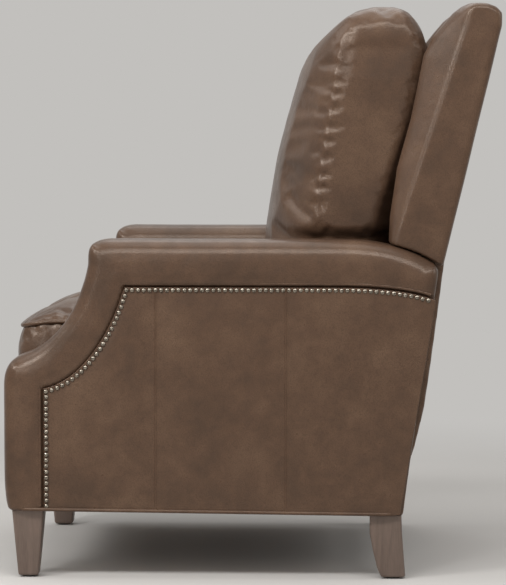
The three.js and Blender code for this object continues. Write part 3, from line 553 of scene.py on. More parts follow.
trimLook = dict(
    foldRadius=0.0032, foldMargin=-0.0124, foldSunk=0.0044, foldPitch=0.004, foldPast=0.008,
    hemRadius=0.0036, hemCorner=0.034, hemFront=0.0145, hemRearGap=0.0025, hemInside=0.012,
    hemOutShare=0.55, hemUpShare=0.9, cornerSteps=7, sideSteps=30,
)
nailLook = dict(
    diameter=0.0094, pitch=0.0111, height=0.0034, segments=14, rings=10, margin=0.0, bottom=0.1405,
    rear=0.814, seat=0.3918, slip=0.00022, slipTurns=(2.4, 1.7),
)


def nailLine(margin, bottom, rear):
    # three runs in (depth, height): up the post, along the scoop, and back along the top
    size = armSizes
    low = np.array([size["nailInset"] + margin, size["nailLow"] - margin])
    high = np.array([size["nailTopDepth"] + margin, size["nailTop"] - margin])
    turn = np.array([size["fallStart"], size["nailTop"] - margin])
    end = np.array([size["depth"], size["nailRear"] - margin])
    post = np.array([[low[0], bottom], low])
    scoop = bezier(low, low + (high - low) * size["nailLowPull"],
                   low + (high - low) * size["nailHighPull"], high, size["scoopSteps"])
    fall = bezier(turn, turn + (end - turn) * size["nailFallPull"],
                  turn + (end - turn) * size["nailRearPull"], end, size["fallSteps"])
    fall = fall[fall[:, 0] <= rear]
    return post, scoop, np.vstack([high, fall])


def insideNails(points):
    # metres inside the nail line on the outer face of the arm, and negative outside it
    depth, height = points[:, 1] - chairFront, points[:, 2]
    line = np.vstack(nailLine(0.0, 0.0, armSizes["depth"]))
    run, _ = evenly(line, finePitch)
    away, _ = nearest([(0, d, h) for d, h in run], [(0, d, h) for d, h in zip(depth, height)])
    under = height < np.interp(depth, line[1:, 0], line[1:, 1])
    return np.where((depth > armSizes["nailInset"]) & under, away, -away)


def outlineOf(piece, across):
    # places and directions round the top, front and rear of the arm, half way through it
    surface = surfaceOf(piece)
    step, faraway = armLook["outlineStep"], 2
    depths = chairFront + np.arange(0, armSizes["depth"], step)
    heights = np.arange(armSizes["bottomFront"] + 0.004, armSizes["height"], step)
    casts = [((y, faraway), (0, -1)) for y in depths]
    casts += [((start, z), (way, 0)) for z in heights for start, way in ((-faraway, 1), (faraway, -1))]
    found = [surface.ray_cast(Vector((across, *start)), Vector((0, *way)))[:2] for start, way in casts]
    found = [(place, outward) for place, outward in found if place is not None]
    return np.array([(0, p.y, p.z) for p, _ in found]), np.array([(0, n.y, n.z) for _, n in found])


def crownEdges(piece, sign):
    # the padding turns the square edges into full round ones
    size, look = armSizes, armLook
    points = readPoints(piece)
    middle = size["outer"] - size["thickness"] / 2
    outline, ways = outlineOf(piece, sign * middle)
    tree = treeOf(outline)
    flat = points * (0, 1, 1)
    closest = np.array([[f[1] for f in tree.find_n(p, look["outlineNeighbours"])] for p in flat])
    outward = ways[closest].mean(axis=1)
    outward /= np.linalg.norm(outward, axis=1, keepdims=True)
    under = np.sum((outline[closest] - flat[:, None]) * outward[:, None], axis=2).mean(axis=1)
    radius = look["crownFront"] + ((look["crown"] - look["crownFront"])
                                   * softStep(outward[:, 2], *look["frontToTop"]))
    radius = np.where(outward[:, 1] > 0, look["crown"], radius)
    radius -= (radius - look["crownRear"]) * softStep(outward[:, 1], *look["topToRear"])
    fromMiddle = points[:, 0] - sign * middle
    a = np.clip(radius - (size["thickness"] / 2 - np.abs(fromMiddle)), 0, None)
    b = np.clip(radius - under, 0, None)
    share = np.where((a > 0) & (b > 0), np.minimum(1, radius / np.maximum(np.hypot(a, b), 1e-9)), 1.0)
    points -= outward * (b * (1 - share))[:, None]
    points[:, 0] -= np.sign(fromMiddle) * a * (1 - share)
    writePoints(piece, points)
    applyModifier(piece, "SMOOTH", factor=0.5, iterations=look["crownEase"], use_y=False, use_z=False)


def makeArmCover(side, sign):
    look = armLook
    arm = copyOf(side + "_arm_pad", side + "_arm_cover")
    filler = copyOf(side + "_side_panel", "pocket filler")
    points = readPoints(filler)
    middle = points.mean(axis=0)
    points = middle + (points - middle) * (1.0, look["fillerGrow"], look["fillerGrow"])
    points[:, 0] -= sign * look["fillerSunk"]
    writePoints(filler, points)
    arm = joinInto(side + "_arm_cover", [arm, filler])
    evenFaces(arm, look["voxel"], look["smoothing"], look["regain"])
    points = readPoints(arm)
    fromCorner = np.hypot(points[:, 1] - chairFront - look["corner"][0], points[:, 2] - look["corner"][1])
    points += np.array(look["cornerPush"]) * np.exp(-(fromCorner / look["cornerSpread"]) ** 2)[:, None]
    lift = np.array(look["rearLift"])
    points[:, 2] += (np.interp(points[:, 1] - chairFront, lift[:, 0], lift[:, 1])
                     * softStep(points[:, 2], *look["liftHeights"]))
    writePoints(arm, points)
    crownEdges(arm, sign)
    pushOut(arm, lumps(readPoints(arm), look["foamSize"], 3.0 + sign) * look["foam"])
    # the border rolls down to the nails, and inside them the face is sunk behind the panel lengths
    points = readPoints(arm)
    outerFace = points[:, 0] * sign > armSizes["outer"] - look["faceBand"]
    inside = np.where(outerFace, insideNails(points), -1.0)
    points[:, 0] -= sign * look["borderRoll"] * softStep(inside, *look["rollSpan"])
    points[:, 0] -= sign * look["sunk"] * softStep(inside, *look["sunkSpan"])
    writePoints(arm, points)
    cover(arm, [side + "_arm_pad"], "base")


def panelTop(depth):
    # the upper edge of the hide, just past the nails
    line = np.vstack(nailLine(-panelLook["under"], 0.0, armSizes["depth"])[1:])
    return np.interp(depth, line[:, 0], line[:, 1])


def panelBottom(depth):
    size = armSizes
    hem = np.interp(depth, (0, size["depth"]), (size["bottomFront"], size["bottomRear"]))
    return hem + panelLook["bottomGap"]


def panelRear(height):
    size = armSizes
    fallen = np.clip((size["nailRear"] - height) / (size["nailRear"] - size["bottomRear"]), 0, 1)
    return size["depth"] - panelLook["rearGap"] - size["rearSlope"] * fallen


def spread(length, pitch):
    # even spaces, with close rows at both ends for the turned edge
    edge = np.append(np.array(panelLook["edgeShares"]) * panelLook["edge"], panelLook["edgeRows"])
    start = edge[-1] + panelLook["innerGap"]
    inner = np.linspace(start, length - edge[-1] - panelLook["innerGap"], max(2, round(length / pitch)))
    return np.concatenate([edge, inner, length - edge[::-1]]) / length


def makePanelLength(sign, start, end, face):
    look = panelLook
    across = spread(end - start, look["weave"])
    up = spread(look["nominalHeight"], look["weave"])
    deselectAll()
    bpy.ops.mesh.primitive_grid_add(x_subdivisions=len(across) - 1, y_subdivisions=len(up) - 1, size=2)
    length = bpy.context.object
    grid = readPoints(length)
    u = across[np.round((grid[:, 0] + 1) / 2 * (len(across) - 1)).astype(int)]
    v = up[np.round((grid[:, 1] + 1) / 2 * (len(up) - 1)).astype(int)]
    depth = start + u * (end - start)
    # depth and height hang on each other at the sloped rear, so they are worked out in turns
    for _ in range(3):
        low, high = panelBottom(depth), panelTop(depth)
        height = low + v * (high - low)
        depth = start + u * (np.minimum(end, panelRear(height)) - start)
    toRear = np.minimum(end, panelRear(height)) - depth
    rim = np.minimum.reduce([depth - start, toRear, height - low, high - height])
    t = np.clip(1 - rim / look["edge"], 0, 1)
    out = face - look["edge"] * (1 - np.sqrt(1 - t * t)) + look["swell"] * softStep(rim, *look["swellSpan"])
    if start >= look["seamDepths"][0]:
        out += look["seamRidge"] * np.exp(-((depth - start - look["ridgePlace"]) / look["ridgeWidth"]) ** 2)
    points = np.stack([sign * out, chairFront + depth, height], 1)
    foam = lumps(points, armLook["foamSize"], 8.0) * armLook["foam"]
    points[:, 0] += sign * foam * softStep(rim, *look["foamSpan"])
    writePoints(length, points)
    if sign < 0:
        editAll(length)
        bpy.ops.mesh.flip_normals()
        leaveEdit()
    applyModifier(length, "SOLIDIFY", thickness=look["thick"], offset=-1)
    return length


def makePanelCover(side, sign):
    # three lengths of hide with upright seams, each lapped over the one in front of it
    look = panelLook
    starts = (armSizes["nailInset"] - look["under"], *look["seamDepths"])
    ends = (*(depth + look["seamLap"] for depth in look["seamDepths"]), armSizes["depth"])
    lengths = [makePanelLength(sign, start, end, look["face"] + k * look["seamStep"])
               for k, (start, end) in enumerate(zip(starts, ends))]
    panel = joinInto(side + "_side_cover", lengths)
    shadeSmooth(panel, 50)
    dress(panel, leather, "base")
    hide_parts(side + "_side_panel")


def hemRoute():
    # (across, depth) round the outside of the arm, from its inner front corner to its inner rear one
    size, look = armSizes, trimLook
    inner = size["outer"] - size["thickness"] + look["hemInside"]
    outer = size["outer"] - look["hemRadius"] * look["hemOutShare"]
    front, rear = look["hemFront"], size["depth"] - size["rearSlope"] - look["hemRearGap"]
    corner = look["hemCorner"]
    turn = [(math.cos(a), math.sin(a)) for a in np.linspace(0, math.pi / 2, look["cornerSteps"])]
    side = np.linspace(front + corner, rear - corner, look["sideSteps"])
    return [
        (inner, front),
        *[(outer - corner + corner * s, front + corner - corner * c) for c, s in turn],
        *[(outer, depth) for depth in side[1:-1]],
        *[(outer - corner + corner * c, rear - corner + corner * s) for c, s in turn],
        (inner, rear),
    ]


def makeArmTrim(side, sign):
    # the turned edge of the border along the nails, and a hem cord along the bottom
    size, look = armSizes, trimLook
    x = sign * (size["outer"] - look["foldSunk"])
    bottom, rear = size["bottomFront"] + look["foldPast"], nailLook["rear"] + look["foldPast"]
    line, _ = evenly(np.vstack(nailLine(look["foldMargin"], bottom, rear)), look["foldPitch"])
    fold = piping("border_fold", [(x, chairFront + depth, height) for depth, height in line],
                  look["foldRadius"], False)
    route = hemRoute()
    front, rear = route[0][1], route[-1][1]
    lifted = look["hemRadius"] * look["hemUpShare"]
    hem = piping("hem", [
        (sign * across, chairFront + depth,
         np.interp(depth, (front, rear), (size["bottomFront"], size["bottomRear"])) + lifted)
        for across, depth in route], look["hemRadius"], False)
    dress(joinInto(side + "_arm_trim", [fold, hem]), leather, "base")


def makeNails(side, sign):
    look = nailLook
    deselectAll()
    bpy.ops.mesh.primitive_uv_sphere_add(segments=look["segments"], ring_count=look["rings"],
                                         radius=look["diameter"] / 2, location=(0, 0, 0))
    nail = bpy.context.object
    editAll(nail)
    bpy.ops.mesh.bisect(plane_co=(0, 0, 0), plane_no=(0, 0, 1), use_fill=True, clear_inner=True)
    bpy.ops.mesh.select_all(action="SELECT")
    bpy.ops.transform.resize(value=(1, 1, look["height"] * 2 / look["diameter"]))
    leaveEdit()
    nail.rotation_euler = (0, sign * math.pi / 2, 0)
    settle(nail)
    places = []
    for i, run in enumerate(nailLine(look["margin"], look["bottom"], look["rear"])):
        spaced, _ = evenly(run, look["pitch"])
        places += list(spaced[1:] if i else spaced)
    heads = []
    for k, (depth, height) in enumerate(places):
        head = nail.copy()
        head.data = nail.data.copy()
        bpy.context.scene.collection.objects.link(head)
        # a hammered row is never quite straight
        back = look["slip"] * math.sin(k * look["slipTurns"][0])
        up = look["slip"] * math.cos(k * look["slipTurns"][1])
        head.location = (sign * look["seat"], chairFront + depth + back, height + up)
        heads.append(head)
    bpy.data.objects.remove(nail)
    row = joinInto(side + "_nails", heads)
    settle(row)
    shadeSmooth(row, 50)
    dress(row, nailMetal, "base")


for side in ("left", "right"):
    sign = 1 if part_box(side + "_arm_pad")[0][0] > 0 else -1
    makeArmCover(side, sign)
    makePanelCover(side, sign)
    makeArmTrim(side, sign)
    makeNails(side, sign)
print("arms covered, trimmed and nailed")


# Seat cushion

cushionSizes = dict(
    front=0.012, rear=0.700, bottom=0.358, corner=0.034,
    boxed=0.495, boxedDrop=0.017, boxedRun=0.110,  # where the plain solid's crown starts
    seam=0.4865, frontDrop=0.0125, dropRun=0.085,
)
cushionLook = dict(
    voxel=0.0065, smoothing=6, regain=0.001, crownShare=0.66,
    frontFall=0.010, frontFallRun=0.075, fallRise=0.02, forward=0.0035, forwardFrom=0.15, forwardRun=0.12,
    pressure=4.5, slack=0.03, cap=0.018, sideCap=0.0025, frontCap=0.012, boxingGap=0.004,
    hold=0.9, holdWidth=0.010, limit=0.2688, underGap=0.0005,
    gather=0.0024, gatherPitch=0.034, gatherReach=0.022, draw=0.0016, drawWidth=0.006,
    lowSeam=0.012, welt=0.0042, weltOut=0.0024, weltPitch=0.006, weltShare=0.6,
)


def dropped(depth, height, drop, run):
    # a height that falls away towards the front
    return height - drop * np.clip(1 - (depth - cushionSizes["front"]) / run, 0, 1) ** 2


def topSeamHeight(depth):
    return dropped(depth, cushionSizes["seam"], cushionSizes["frontDrop"], cushionSizes["dropRun"])


def lowSeamHeight(depth):
    return cushionSizes["bottom"] + cushionLook["lowSeam"]  # level all round


def seamAround(piece, heightAt, steps=220):
    # where rays from the middle of the cushion meet its side, at a height that goes with the depth
    surface = surfaceOf(piece)
    y = chairFront + (cushionSizes["front"] + cushionSizes["rear"]) / 2
    route = []
    for k in range(steps):
        angle = 2 * math.pi * k / steps
        way = Vector((math.cos(angle), math.sin(angle), 0))
        height = float(heightAt(cushionSizes["rear"]))
        for _ in range(4):
            hit = surface.ray_cast(Vector((0, y, height)), way)[0]
            height = float(heightAt(hit.y - chairFront))
        route.append(tuple(hit))
    return np.array(route)


def makeSeatCushion():
    look, size = cushionLook, cushionSizes
    cushion = copyOf("seat_cushion", "seat_cushion_cover")
    evenFaces(cushion, look["voxel"], look["smoothing"], look["regain"])
    points = readPoints(cushion)
    depth = points[:, 1] - chairFront
    boxed = dropped(depth, size["boxed"], size["boxedDrop"], size["boxedRun"])
    seam = topSeamHeight(depth)
    above = points[:, 2] - boxed
    near = softStep(look["frontFallRun"] - (depth - size["front"]), 0, look["frontFallRun"])
    # the crown is lower than the solid's and falls away in front, and the boxing shrinks to its seam
    points[:, 2] = np.where(
        above > 0,
        seam + above * look["crownShare"] - look["frontFall"] * near * softStep(above, 0.0, look["fallRise"]),
        size["bottom"] + (points[:, 2] - size["bottom"]) * (seam - size["bottom"]) / (boxed - size["bottom"]))
    points[:, 1] -= look["forward"] * softStep(look["forwardFrom"] - depth, 0, look["forwardRun"])
    writePoints(cushion, points)
    topSeam, lowSeam = seamAround(cushion, topSeamHeight), seamAround(cushion, lowSeamHeight)
    awayTop, _ = alongSeam(points, topSeam, True)
    awayLow, _ = alongSeam(points, lowSeam, True)
    held = heldNear((awayTop, awayLow), look)
    held = np.where(points[:, 2] < size["bottom"] + look["lowSeam"], 1.0, held)
    caps = np.full(len(points), look["cap"])
    boxing = points[:, 2] < seam - look["boxingGap"]
    atFront = depth < size["front"] + size["corner"]
    caps[boxing & ~atFront] = look["sideCap"]
    caps[boxing & atFront] = look["frontCap"]
    inflate(cushion, held, caps, look)
    applyModifier(cushion, "SUBSURF", levels=1, render_levels=1)
    pucker(cushion, topSeam, True, look, 2.0)
    pucker(cushion, lowSeam, True, look, 5.0)
    points = readPoints(cushion)
    points[:, 0] = np.clip(points[:, 0], -look["limit"], look["limit"])
    points[:, 2] = np.maximum(points[:, 2], size["bottom"] + look["underGap"])
    writePoints(cushion, points)
    cover(cushion, ["seat_cushion"], "seat_carriage")
    welts = []
    for seam in (topSeam, lowSeam):
        line, _ = evenly(seam, look["weltPitch"], True)
        out = (line - line.mean(axis=0)) * (1, 1, 0)
        line = line + out / np.linalg.norm(out, axis=1, keepdims=True) * look["weltOut"]
        reach = look["limit"] - look["welt"] * look["weltShare"]
        line[:, 0] = np.clip(line[:, 0], -reach, reach)
        welts.append(piping("welt", line, look["welt"], True))
    dress(joinInto("seat_cushion_welts", welts), leather, "seat_carriage")


makeSeatCushion()
print("seat cushion made")


# Back pillow

pillowSizes = dict(
    bottom=0.500, top=1.099, reach=0.338, rearCorner=0.833, middle=0.80,
    # share of the height, then the seam's place ahead of the arm's rear corner over the reach
    frontSeam=((0.0, 0.689), (0.05, 0.74), (0.168, 0.725), (0.32, 0.678), (0.488, 0.636), (0.64, 0.598),
               (0.758, 0.565), (0.854, 0.538), (0.914, 0.521), (0.963, 0.488), (1.0, 0.42)),
    rearSeam=((0.0, 0.541), (0.05, 0.453), (0.168, 0.417), (0.32, 0.352), (0.488, 0.263), (0.64, 0.172),
              (0.758, 0.11), (0.854, 0.085), (0.914, 0.116), (0.963, 0.16), (1.0, 0.2)),
)
pillowLook = dict(
    voxel=0.0065, firstSmoothing=2, smoothing=8, regain=0.0016, limit=0.2642,
    levels=40, levelBand=0.02, columns=50, columnBand=0.009, centre=0.1, seamBand=0.03,
    # the front panel's plan is a full curve, and a share of its depth is kept
    frontPower=2.1, faceShare=0.955, frontStart=0.012, frontTopGap=0.03, frontTopRun=0.08,
    frontLow=(0.01, 0.05),
    rearTuck=0.16, rearRun=0.04, armTuck=0.018, armTop=0.670, armRun=0.014, armSides=(0.55, 0.9),
    topCorner=0.085, topPower=4, topStart=0.3, topAhead=(0.03, 0.05), topBehind=(0.012, 0.02),
    topDrop=0.002, topDropHeights=(0.95, 1.08),
    pressure=4.5, slack=0.022, frontCap=0.009, sideCap=0.003, rearCap=0.004, capGap=0.004,
    hold=0.85, holdWidth=0.010, holdUnder=0.545, holdUnderRun=0.03,
    gather=0.0040, gatherPitch=0.032, gatherReach=0.019, draw=0.0003, drawWidth=0.007,
    rearGather=0.2, topCalm=0.85, calmHeights=(0.93, 1.02),
)


def pillowSeamAt(kind, height):
    size = pillowSizes
    shares = np.array(size[kind])
    up = (np.asarray(height) - size["bottom"]) / (size["top"] - size["bottom"])
    return chairFront + size["rearCorner"] - np.interp(up, shares[:, 0], shares[:, 1]) * size["reach"]


def seamOver(piece, kind, steps=260, start=-62, sweep=304):
    # a seam that runs up one side, over the top and down the other, by rays from the middle
    surface = surfaceOf(piece)
    middle = pillowSizes["middle"]
    route = []
    for k in range(steps + 1):
        angle = math.radians(start + sweep * k / steps)
        way = Vector((math.cos(angle), 0, math.sin(angle)))
        y = float(pillowSeamAt(kind, middle))
        for _ in range(6):
            hit = surface.ray_cast(Vector((0, y, middle)), way)[0]
            y = float(pillowSeamAt(kind, hit.z))
        route.append(tuple(hit))
    return np.array(route)


def halfWidths(points, ahead, slices):
    # at each level, how far out the sides stand near the front seam
    near = np.abs(ahead) < pillowLook["seamBand"]
    return [np.abs(points[here & near, 0]).max() for here in slices]


def roundEnds(points):
    # the front panel bulges from its seam, so its sides turn in at once, and the rear tucks in
    look, size = pillowLook, pillowSizes
    height = points[:, 2].copy()
    ahead = pillowSeamAt("frontSeam", height) - points[:, 1]
    levels = np.linspace(height.min(), height.max(), look["levels"])
    slices = [np.abs(height - level) < look["levelBand"] for level in levels]
    central = np.abs(points[:, 0]) < look["centre"]
    fullest = [max(ahead[here & central].max(), 0.02) for here in slices]
    fullest = np.interp(height, levels, fullest)
    widest = np.interp(height, levels, halfWidths(points, ahead, slices))
    t, across = np.clip(ahead / fullest, 0, None), np.abs(points[:, 0]) / widest
    power = look["frontPower"]
    over = np.maximum((across ** power + t ** power) ** (1 / power), 1e-6)
    share = softStep(ahead, 0.0, look["frontStart"])
    share = share * softStep(size["top"] - look["frontTopGap"] - height, 0.0, look["frontTopRun"])
    share *= softStep(height, *(size["bottom"] + gap for gap in look["frontLow"]))
    points[:, 0] *= 1 + (1 / over - 1) * share
    points[:, 1] -= ahead * (1 / over - 1) * share
    behind = points[:, 1] - pillowSeamAt("rearSeam", height)
    points[:, 0] *= 1 - look["rearTuck"] * softStep(behind, 0.0, look["rearRun"])
    # between the arms it is held narrower than above them
    tuck = softStep(look["armTop"] - height, 0.0, look["armRun"]) * softStep(across, *look["armSides"])
    points[:, 0] -= np.sign(points[:, 0]) * look["armTuck"] * tuck
    squareTop(points, ahead, behind, levels, halfWidths(points, ahead, slices))


def squareTop(points, ahead, behind, levels, widths):
    # between its seams the boxing stands up square to the top
    look = pillowLook
    reach, power = look["topCorner"], look["topPower"]
    places = np.linspace(points[:, 1].min(), points[:, 1].max(), look["columns"])
    central = np.abs(points[:, 0]) < look["centre"]
    ceiling = [points[central & (np.abs(points[:, 1] - place) < look["columnBand"]), 2].max()
               for place in places]
    ceiling = np.interp(points[:, 1], places, ceiling)
    v = np.clip(1 - (ceiling - points[:, 2]) / reach, 0, None)
    u = np.clip(1 - (np.interp(ceiling - reach, levels, widths) - np.abs(points[:, 0])) / reach, 0, None)
    over = np.maximum((u ** power + v ** power) ** (1 / power), look["topStart"])
    share = softStep(np.minimum(u, v), 0.0, look["topStart"])
    share = share * softStep(look["topAhead"][0] - ahead, 0.0, look["topAhead"][1])
    share *= softStep(look["topBehind"][0] - behind, 0, look["topBehind"][1])
    points[:, 0] += np.sign(points[:, 0]) * u * (1 / over - 1) * share * reach
    points[:, 2] += v * (1 / over - 1) * share * reach


def makePillow():
    look = pillowLook
    pillow = copyOf("back_pillow", "back_pillow_cover")
    evenFaces(pillow, look["voxel"], look["firstSmoothing"], 0.0)
    points = readPoints(pillow)
    roundEnds(points)
    writePoints(pillow, points)
    applyModifier(pillow, "SMOOTH", factor=0.5, iterations=look["smoothing"])
    pushOut(pillow, np.full(len(pillow.data.vertices), look["regain"]))
    points = readPoints(pillow)
    points[:, 2] -= look["topDrop"] * softStep(points[:, 2], *look["topDropHeights"])
    ahead = pillowSeamAt("frontSeam", points[:, 2]) - points[:, 1]
    points[:, 1] += np.maximum(ahead, 0) * (1 - look["faceShare"])
    writePoints(pillow, points)
    frontSeam, rearSeam = seamOver(pillow, "frontSeam"), seamOver(pillow, "rearSeam")
    awayFront, _ = alongSeam(points, frontSeam)
    awayRear, _ = alongSeam(points, rearSeam)
    sat = softStep(look["holdUnder"] - points[:, 2], 0, look["holdUnderRun"])
    held = np.maximum(heldNear((awayFront, awayRear), look), sat)
    caps = np.where(ahead > look["capGap"], look["frontCap"], look["sideCap"])
    behind = points[:, 1] > pillowSeamAt("rearSeam", points[:, 2]) + look["capGap"]
    caps = np.where(behind, look["rearCap"], caps)
    inflate(pillow, held, caps, look)
    applyModifier(pillow, "SUBSURF", levels=1, render_levels=1)
    # the top is pulled nearly smooth
    calm = 1 - look["topCalm"] * softStep(readPoints(pillow)[:, 2], *look["calmHeights"])
    pucker(pillow, frontSeam, False, look, 11.0, calm)
    pucker(pillow, rearSeam, False, look, 6.0, look["rearGather"] * calm)
    points = readPoints(pillow)
    points[:, 0] = np.clip(points[:, 0], -look["limit"], look["limit"])
    writePoints(pillow, points)
    cover(pillow, ["back_pillow"], "back")


makePillow()
print("back pillow made")


# Back shell and wings

backLook = dict(voxel=0.0060, smoothing=5, regain=0.0008, foam=0.0010, foamSize=0.16)
wingLook = dict(
    voxel=0.0034, smoothing=5, regain=0.0007, foam=0.0006, foamSize=0.10,
    # the crest is a narrow gentle slope, and the steeper roll starts where it ends
    crestBand=0.0065, crestSlope=0.23, crestEase=0.0014,
    roll=0.064, rollShare=0.72, mostTurned=0.068, noseForward=0.003,
    topFall=0.7, topPower=1.8, topRound=0.010, rollTopRound=0.022, rollStart=0.02,
    slices=60, sliceBand=0.012, columnBand=0.006, leastLength=0.008,
)
wingSizes = dict(
    outer=0.365, overhang=0.124, rearCorner=0.833, tail=0.205, top=1.106,
    # share of the back's height, then the crest's depth behind the arm's rear corner over the overhang
    crest=((0.422, -0.734), (0.488, -0.677), (0.546, -0.54), (0.648, -0.29), (0.75, -0.04), (0.821, 0.129),
           (0.887, 0.29), (0.927, 0.387), (0.951, 0.444), (0.977, 0.484), (0.99, 0.532), (0.998, 0.573)),
)


def makeBackCover():
    look = backLook
    shell = copyOf("back_shell", "back_shell_cover")
    evenFaces(shell, look["voxel"], look["smoothing"], look["regain"])
    pushOut(shell, lumps(readPoints(shell), look["foamSize"], 4.0) * look["foam"])
    cover(shell, ["back_shell"], "back")


def pastHinge(distance, slope, ease):
    # nothing before the hinge and that slope after it, with a soft turn between
    return slope * (distance / 2 + np.sqrt(distance ** 2 / 4 + ease ** 2))


def makeWingCover(side, sign):
    look, size = wingLook, wingSizes
    wing = copyOf(side + "_wing", side + "_wing_cover")
    evenFaces(wing, look["voxel"], look["smoothing"], look["regain"])
    pushOut(wing, lumps(readPoints(wing), look["foamSize"], 7.0 + sign) * look["foam"])
    crest = np.array(size["crest"])
    crestHeights = size["tail"] + crest[:, 0] * (size["top"] - size["tail"])
    crestPlaces = chairFront + size["rearCorner"] + crest[:, 1] * size["overhang"]
    points = readPoints(wing)
    # ahead of the crest the side turns in at once, into the front roll
    ahead = np.interp(points[:, 2], crestHeights, crestPlaces) - points[:, 1]
    levels = np.linspace(points[:, 2].min(), points[:, 2].max(), look["slices"])
    slices = [np.abs(points[:, 2] - level) < look["sliceBand"] for level in levels]
    longest = [max(ahead[here].max(), look["leastLength"]) for here in slices]
    longest = np.interp(points[:, 2], levels, longest)
    slope = np.minimum(look["roll"], longest * look["rollShare"]) / longest
    turned = pastHinge(ahead, look["crestSlope"], look["crestEase"])
    turned += pastHinge(ahead - look["crestBand"], slope - look["crestSlope"], look["crestEase"])
    # and its top edge falls away
    places = np.linspace(points[:, 1].min(), points[:, 1].max(), look["slices"])
    ceiling = [points[np.abs(points[:, 1] - place) < look["columnBand"], 2].max() for place in places]
    under = np.interp(points[:, 1], places, ceiling) - points[:, 2]
    topRound = look["topRound"] + ((look["rollTopRound"] - look["topRound"])
                                   * softStep(ahead, 0.0, look["rollStart"]))
    turned = turned + look["topFall"] * topRound * np.clip(1 - under / topRound, 0, 1) ** look["topPower"]
    # the whole thickness narrows with it, so that the nose stays a full roll
    inner = np.abs(points[:, 0]).min()
    through = np.clip((points[:, 0] * sign - inner) / (size["outer"] - inner), 0, 1)
    points[:, 0] -= sign * through * np.minimum(turned, look["mostTurned"])
    points[:, 1] -= look["noseForward"] * np.clip(ahead / longest, 0, 1) ** 2
    writePoints(wing, points)
    cover(wing, [side + "_wing"], "back")


makeBackCover()
for side in ("left", "right"):
    makeWingCover(side, 1 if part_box(side + "_wing")[0][0] > 0 else -1)
print("back and wings covered")


# Leather drawn over the rails that show

sleeveLook = dict(voxel=0.0050, smoothing=3, regain=0.0016)


def makeSleeve(node, body):
    look = sleeveLook
    sleeve = copyOf(node, node + "_sleeve")
    evenFaces(sleeve, look["voxel"], look["smoothing"], look["regain"])
    shadeSmooth(sleeve)
    dress(sleeve, leather, body)


makeSleeve("rear_base_rail", "base")
makeSleeve("seat_nosing", "seat_carriage")
print("rails sleeved")


# Footrest pad

footPadLook = dict(
    voxel=0.0055, smoothing=5, regain=0.0006, boardBand=0.012, pressure=3.5, slack=0.02, cap=0.006,
)


def makeFootPad():
    look = footPadLook
    pad = copyOf("footrest_pad", "footrest_pad_cover")
    evenFaces(pad, look["voxel"], look["smoothing"], look["regain"])
    points = readPoints(pad)
    held = np.where(points[:, 1] > points[:, 1].max() - look["boardBand"], 1.0, 0.0)  # tacked to its board
    inflate(pad, held, np.full(len(points), look["cap"]), look)
    applyModifier(pad, "SUBSURF", levels=1, render_levels=1)
    cover(pad, ["footrest_pad"], "footrest")


makeFootPad()
print("footrest pad made")


# Legs

legLook = dict(soften=0.0045, segments=4, flat=2, smooth=32)  # metres, then degrees


def makeLeg(name):
    # the foot is eased all round, as a sanded one is
    leg = copyOf(name, name + "_sanded")
    editAll(leg)
    bpy.ops.mesh.dissolve_limited(angle_limit=math.radians(legLook["flat"]))
    bpy.ops.mesh.select_all(action="DESELECT")
    leaveEdit()
    bottom = readPoints(leg)[:, 2].min()
    for edge in leg.data.edges:
        edge.select = all(leg.data.vertices[v].co.z < bottom + 1e-5 for v in edge.vertices)
    bpy.ops.object.mode_set(mode="EDIT")
    bpy.ops.mesh.select_mode(type="EDGE")
    bpy.ops.mesh.bevel(offset=legLook["soften"], segments=legLook["segments"], clamp_overlap=True)
    bpy.ops.mesh.select_mode(type="VERT")
    leaveEdit()
    shadeSmooth(leg, legLook["smooth"])
    dress(leg, slotMaterials["leg_wood"], "base")
    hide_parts(name)


for name in ("left_front_leg", "left_rear_leg", "right_front_leg", "right_rear_leg"):
    makeLeg(name)
print("legs finished")


# Floor and light

studio = dict(
    floor="c8c5c1", floorLight="ccc9c5", wall="c2c0bd", sky="f4f2ef", ambient=0.22,
    floorSize=24, shadowReach=1.0, plainFrom=2.6,  # metres, the last two from the middle of the chair
)
lamps = (
    # name, place, aim, width, height, power
    ("long bank", (2.1, 0.0, 2.6), (0.2, 0.0, 0.5), 4.0, 0.55, 64),
    ("front key", (2.0, -2.0, 2.3), (0.35, -0.3, 0.45), 0.8, 0.8, 32),
    ("front strip", (3.4, -1.15, 1.55), (0.3, 0.2, 0.8), 0.3, 1.5, 16),
    ("overhead", (0.0, 0.2, 3.2), (0.0, 0.0, 0.6), 1.8, 1.8, 18),
    ("camera side fill", (4.8, 1.2, 1.7), (0.0, 0.0, 0.5), 3.0, 3.0, 4),
    ("front softbox", (0.0, -2.9, 3.2), (0.0, 0.0, 0.6), 2.2, 2.2, 30),
    ("rear softbox", (0.6, 3.4, 2.2), (0.1, 0.3, 0.7), 1.6, 1.6, 24),
    ("far side", (-1.9, 0.0, 3.2), (0.0, 0.0, 0.6), 2.0, 2.0, 20),
)


def seenDirectly(tree):
    # 1 where the camera looks, or where gloss or glass shows what is behind, and 0 for the light itself
    path = addNode(tree, "ShaderNodeLightPath")
    direct, glossy, through = (path.outputs[ray] for ray in
                               ("Is Camera Ray", "Is Glossy Ray", "Is Transmission Ray"))
    either = addNode(tree, "ShaderNodeMath", {0: direct, 1: glossy}, operation="MAXIMUM").outputs["Value"]
    return addNode(tree, "ShaderNodeMath", {0: either, 1: through}, operation="MAXIMUM").outputs["Value"]


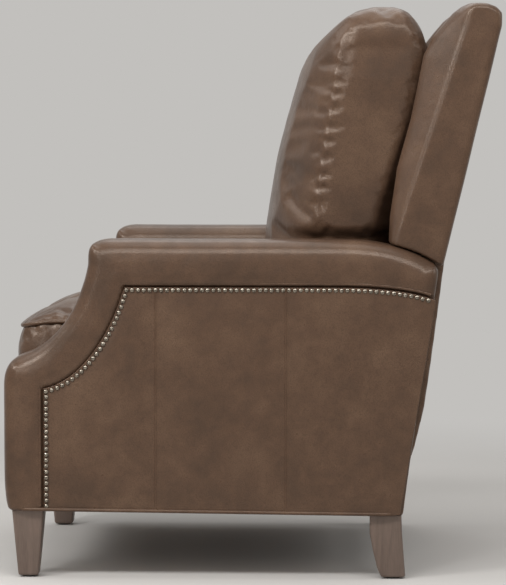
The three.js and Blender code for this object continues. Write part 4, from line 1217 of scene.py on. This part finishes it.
def makeFloor():
    deselectAll()
    bpy.ops.mesh.primitive_plane_add(size=studio["floorSize"], location=(0, 0, 0))
    floor = bpy.context.object
    floor.name = "studio_floor"
    material, tree, shader, place = newMaterial("painted studio floor", Roughness=0.85)
    speck = addNode(tree, "ShaderNodeTexNoise", {"Vector": place}, {"Scale": 2.5})
    paint = colourSteps(tree, speck.outputs["Fac"], [(0.3, studio["floor"]), (0.7, studio["floorLight"])])
    tree.links.new(paint, shader.inputs["Base Color"])
    # past the shadow the floor is seen as plain as the wall, so no horizon shows
    away = addNode(tree, "ShaderNodeVectorMath", {0: place}, operation="LENGTH")
    fade = addNode(tree, "ShaderNodeMapRange", {"Value": away.outputs["Value"]},
                   {"From Min": studio["shadowReach"], "From Max": studio["plainFrom"]},
                   interpolation_type="SMOOTHSTEP")
    share = addNode(tree, "ShaderNodeMath", {0: seenDirectly(tree), 1: fade.outputs["Result"]},
                    operation="MULTIPLY")
    plain = addNode(tree, "ShaderNodeEmission", (), {"Color": linear(studio["wall"])})
    both = addNode(tree, "ShaderNodeMixShader",
                   {0: share.outputs["Value"], 1: shader.outputs["BSDF"], 2: plain.outputs["Emission"]})
    tree.links.new(both.outputs["Shader"], tree.nodes["Material Output"].inputs["Surface"])
    floor.data.materials.append(material)


def makeLight():
    world = bpy.data.worlds.new("studio")
    bpy.context.scene.world = world
    world.use_nodes = True
    tree = world.node_tree
    seen = tree.nodes["Background"]
    seen.inputs["Color"].default_value = linear(studio["wall"])
    lit = addNode(tree, "ShaderNodeBackground", (),
                  {"Color": linear(studio["sky"]), "Strength": studio["ambient"]})
    either = addNode(tree, "ShaderNodeMixShader",
                     {0: seenDirectly(tree), 1: lit.outputs["Background"], 2: seen.outputs["Background"]})
    tree.links.new(either.outputs["Shader"], tree.nodes["World Output"].inputs["Surface"])
    for name, place, aim, width, height, power in lamps:
        light = bpy.data.lights.new(name, "AREA")
        light.shape = "RECTANGLE"
        light.size, light.size_y = width, height
        light.energy = power
        lamp = bpy.data.objects.new(name, light)
        lamp.location = place
        lamp.rotation_euler = (Vector(aim) - Vector(place)).to_track_quat("-Z", "Y").to_euler()
        bpy.context.scene.collection.objects.link(lamp)
    bpy.context.scene.view_settings.view_transform = "Standard"


makeFloor()
makeLight()
print("studio made")
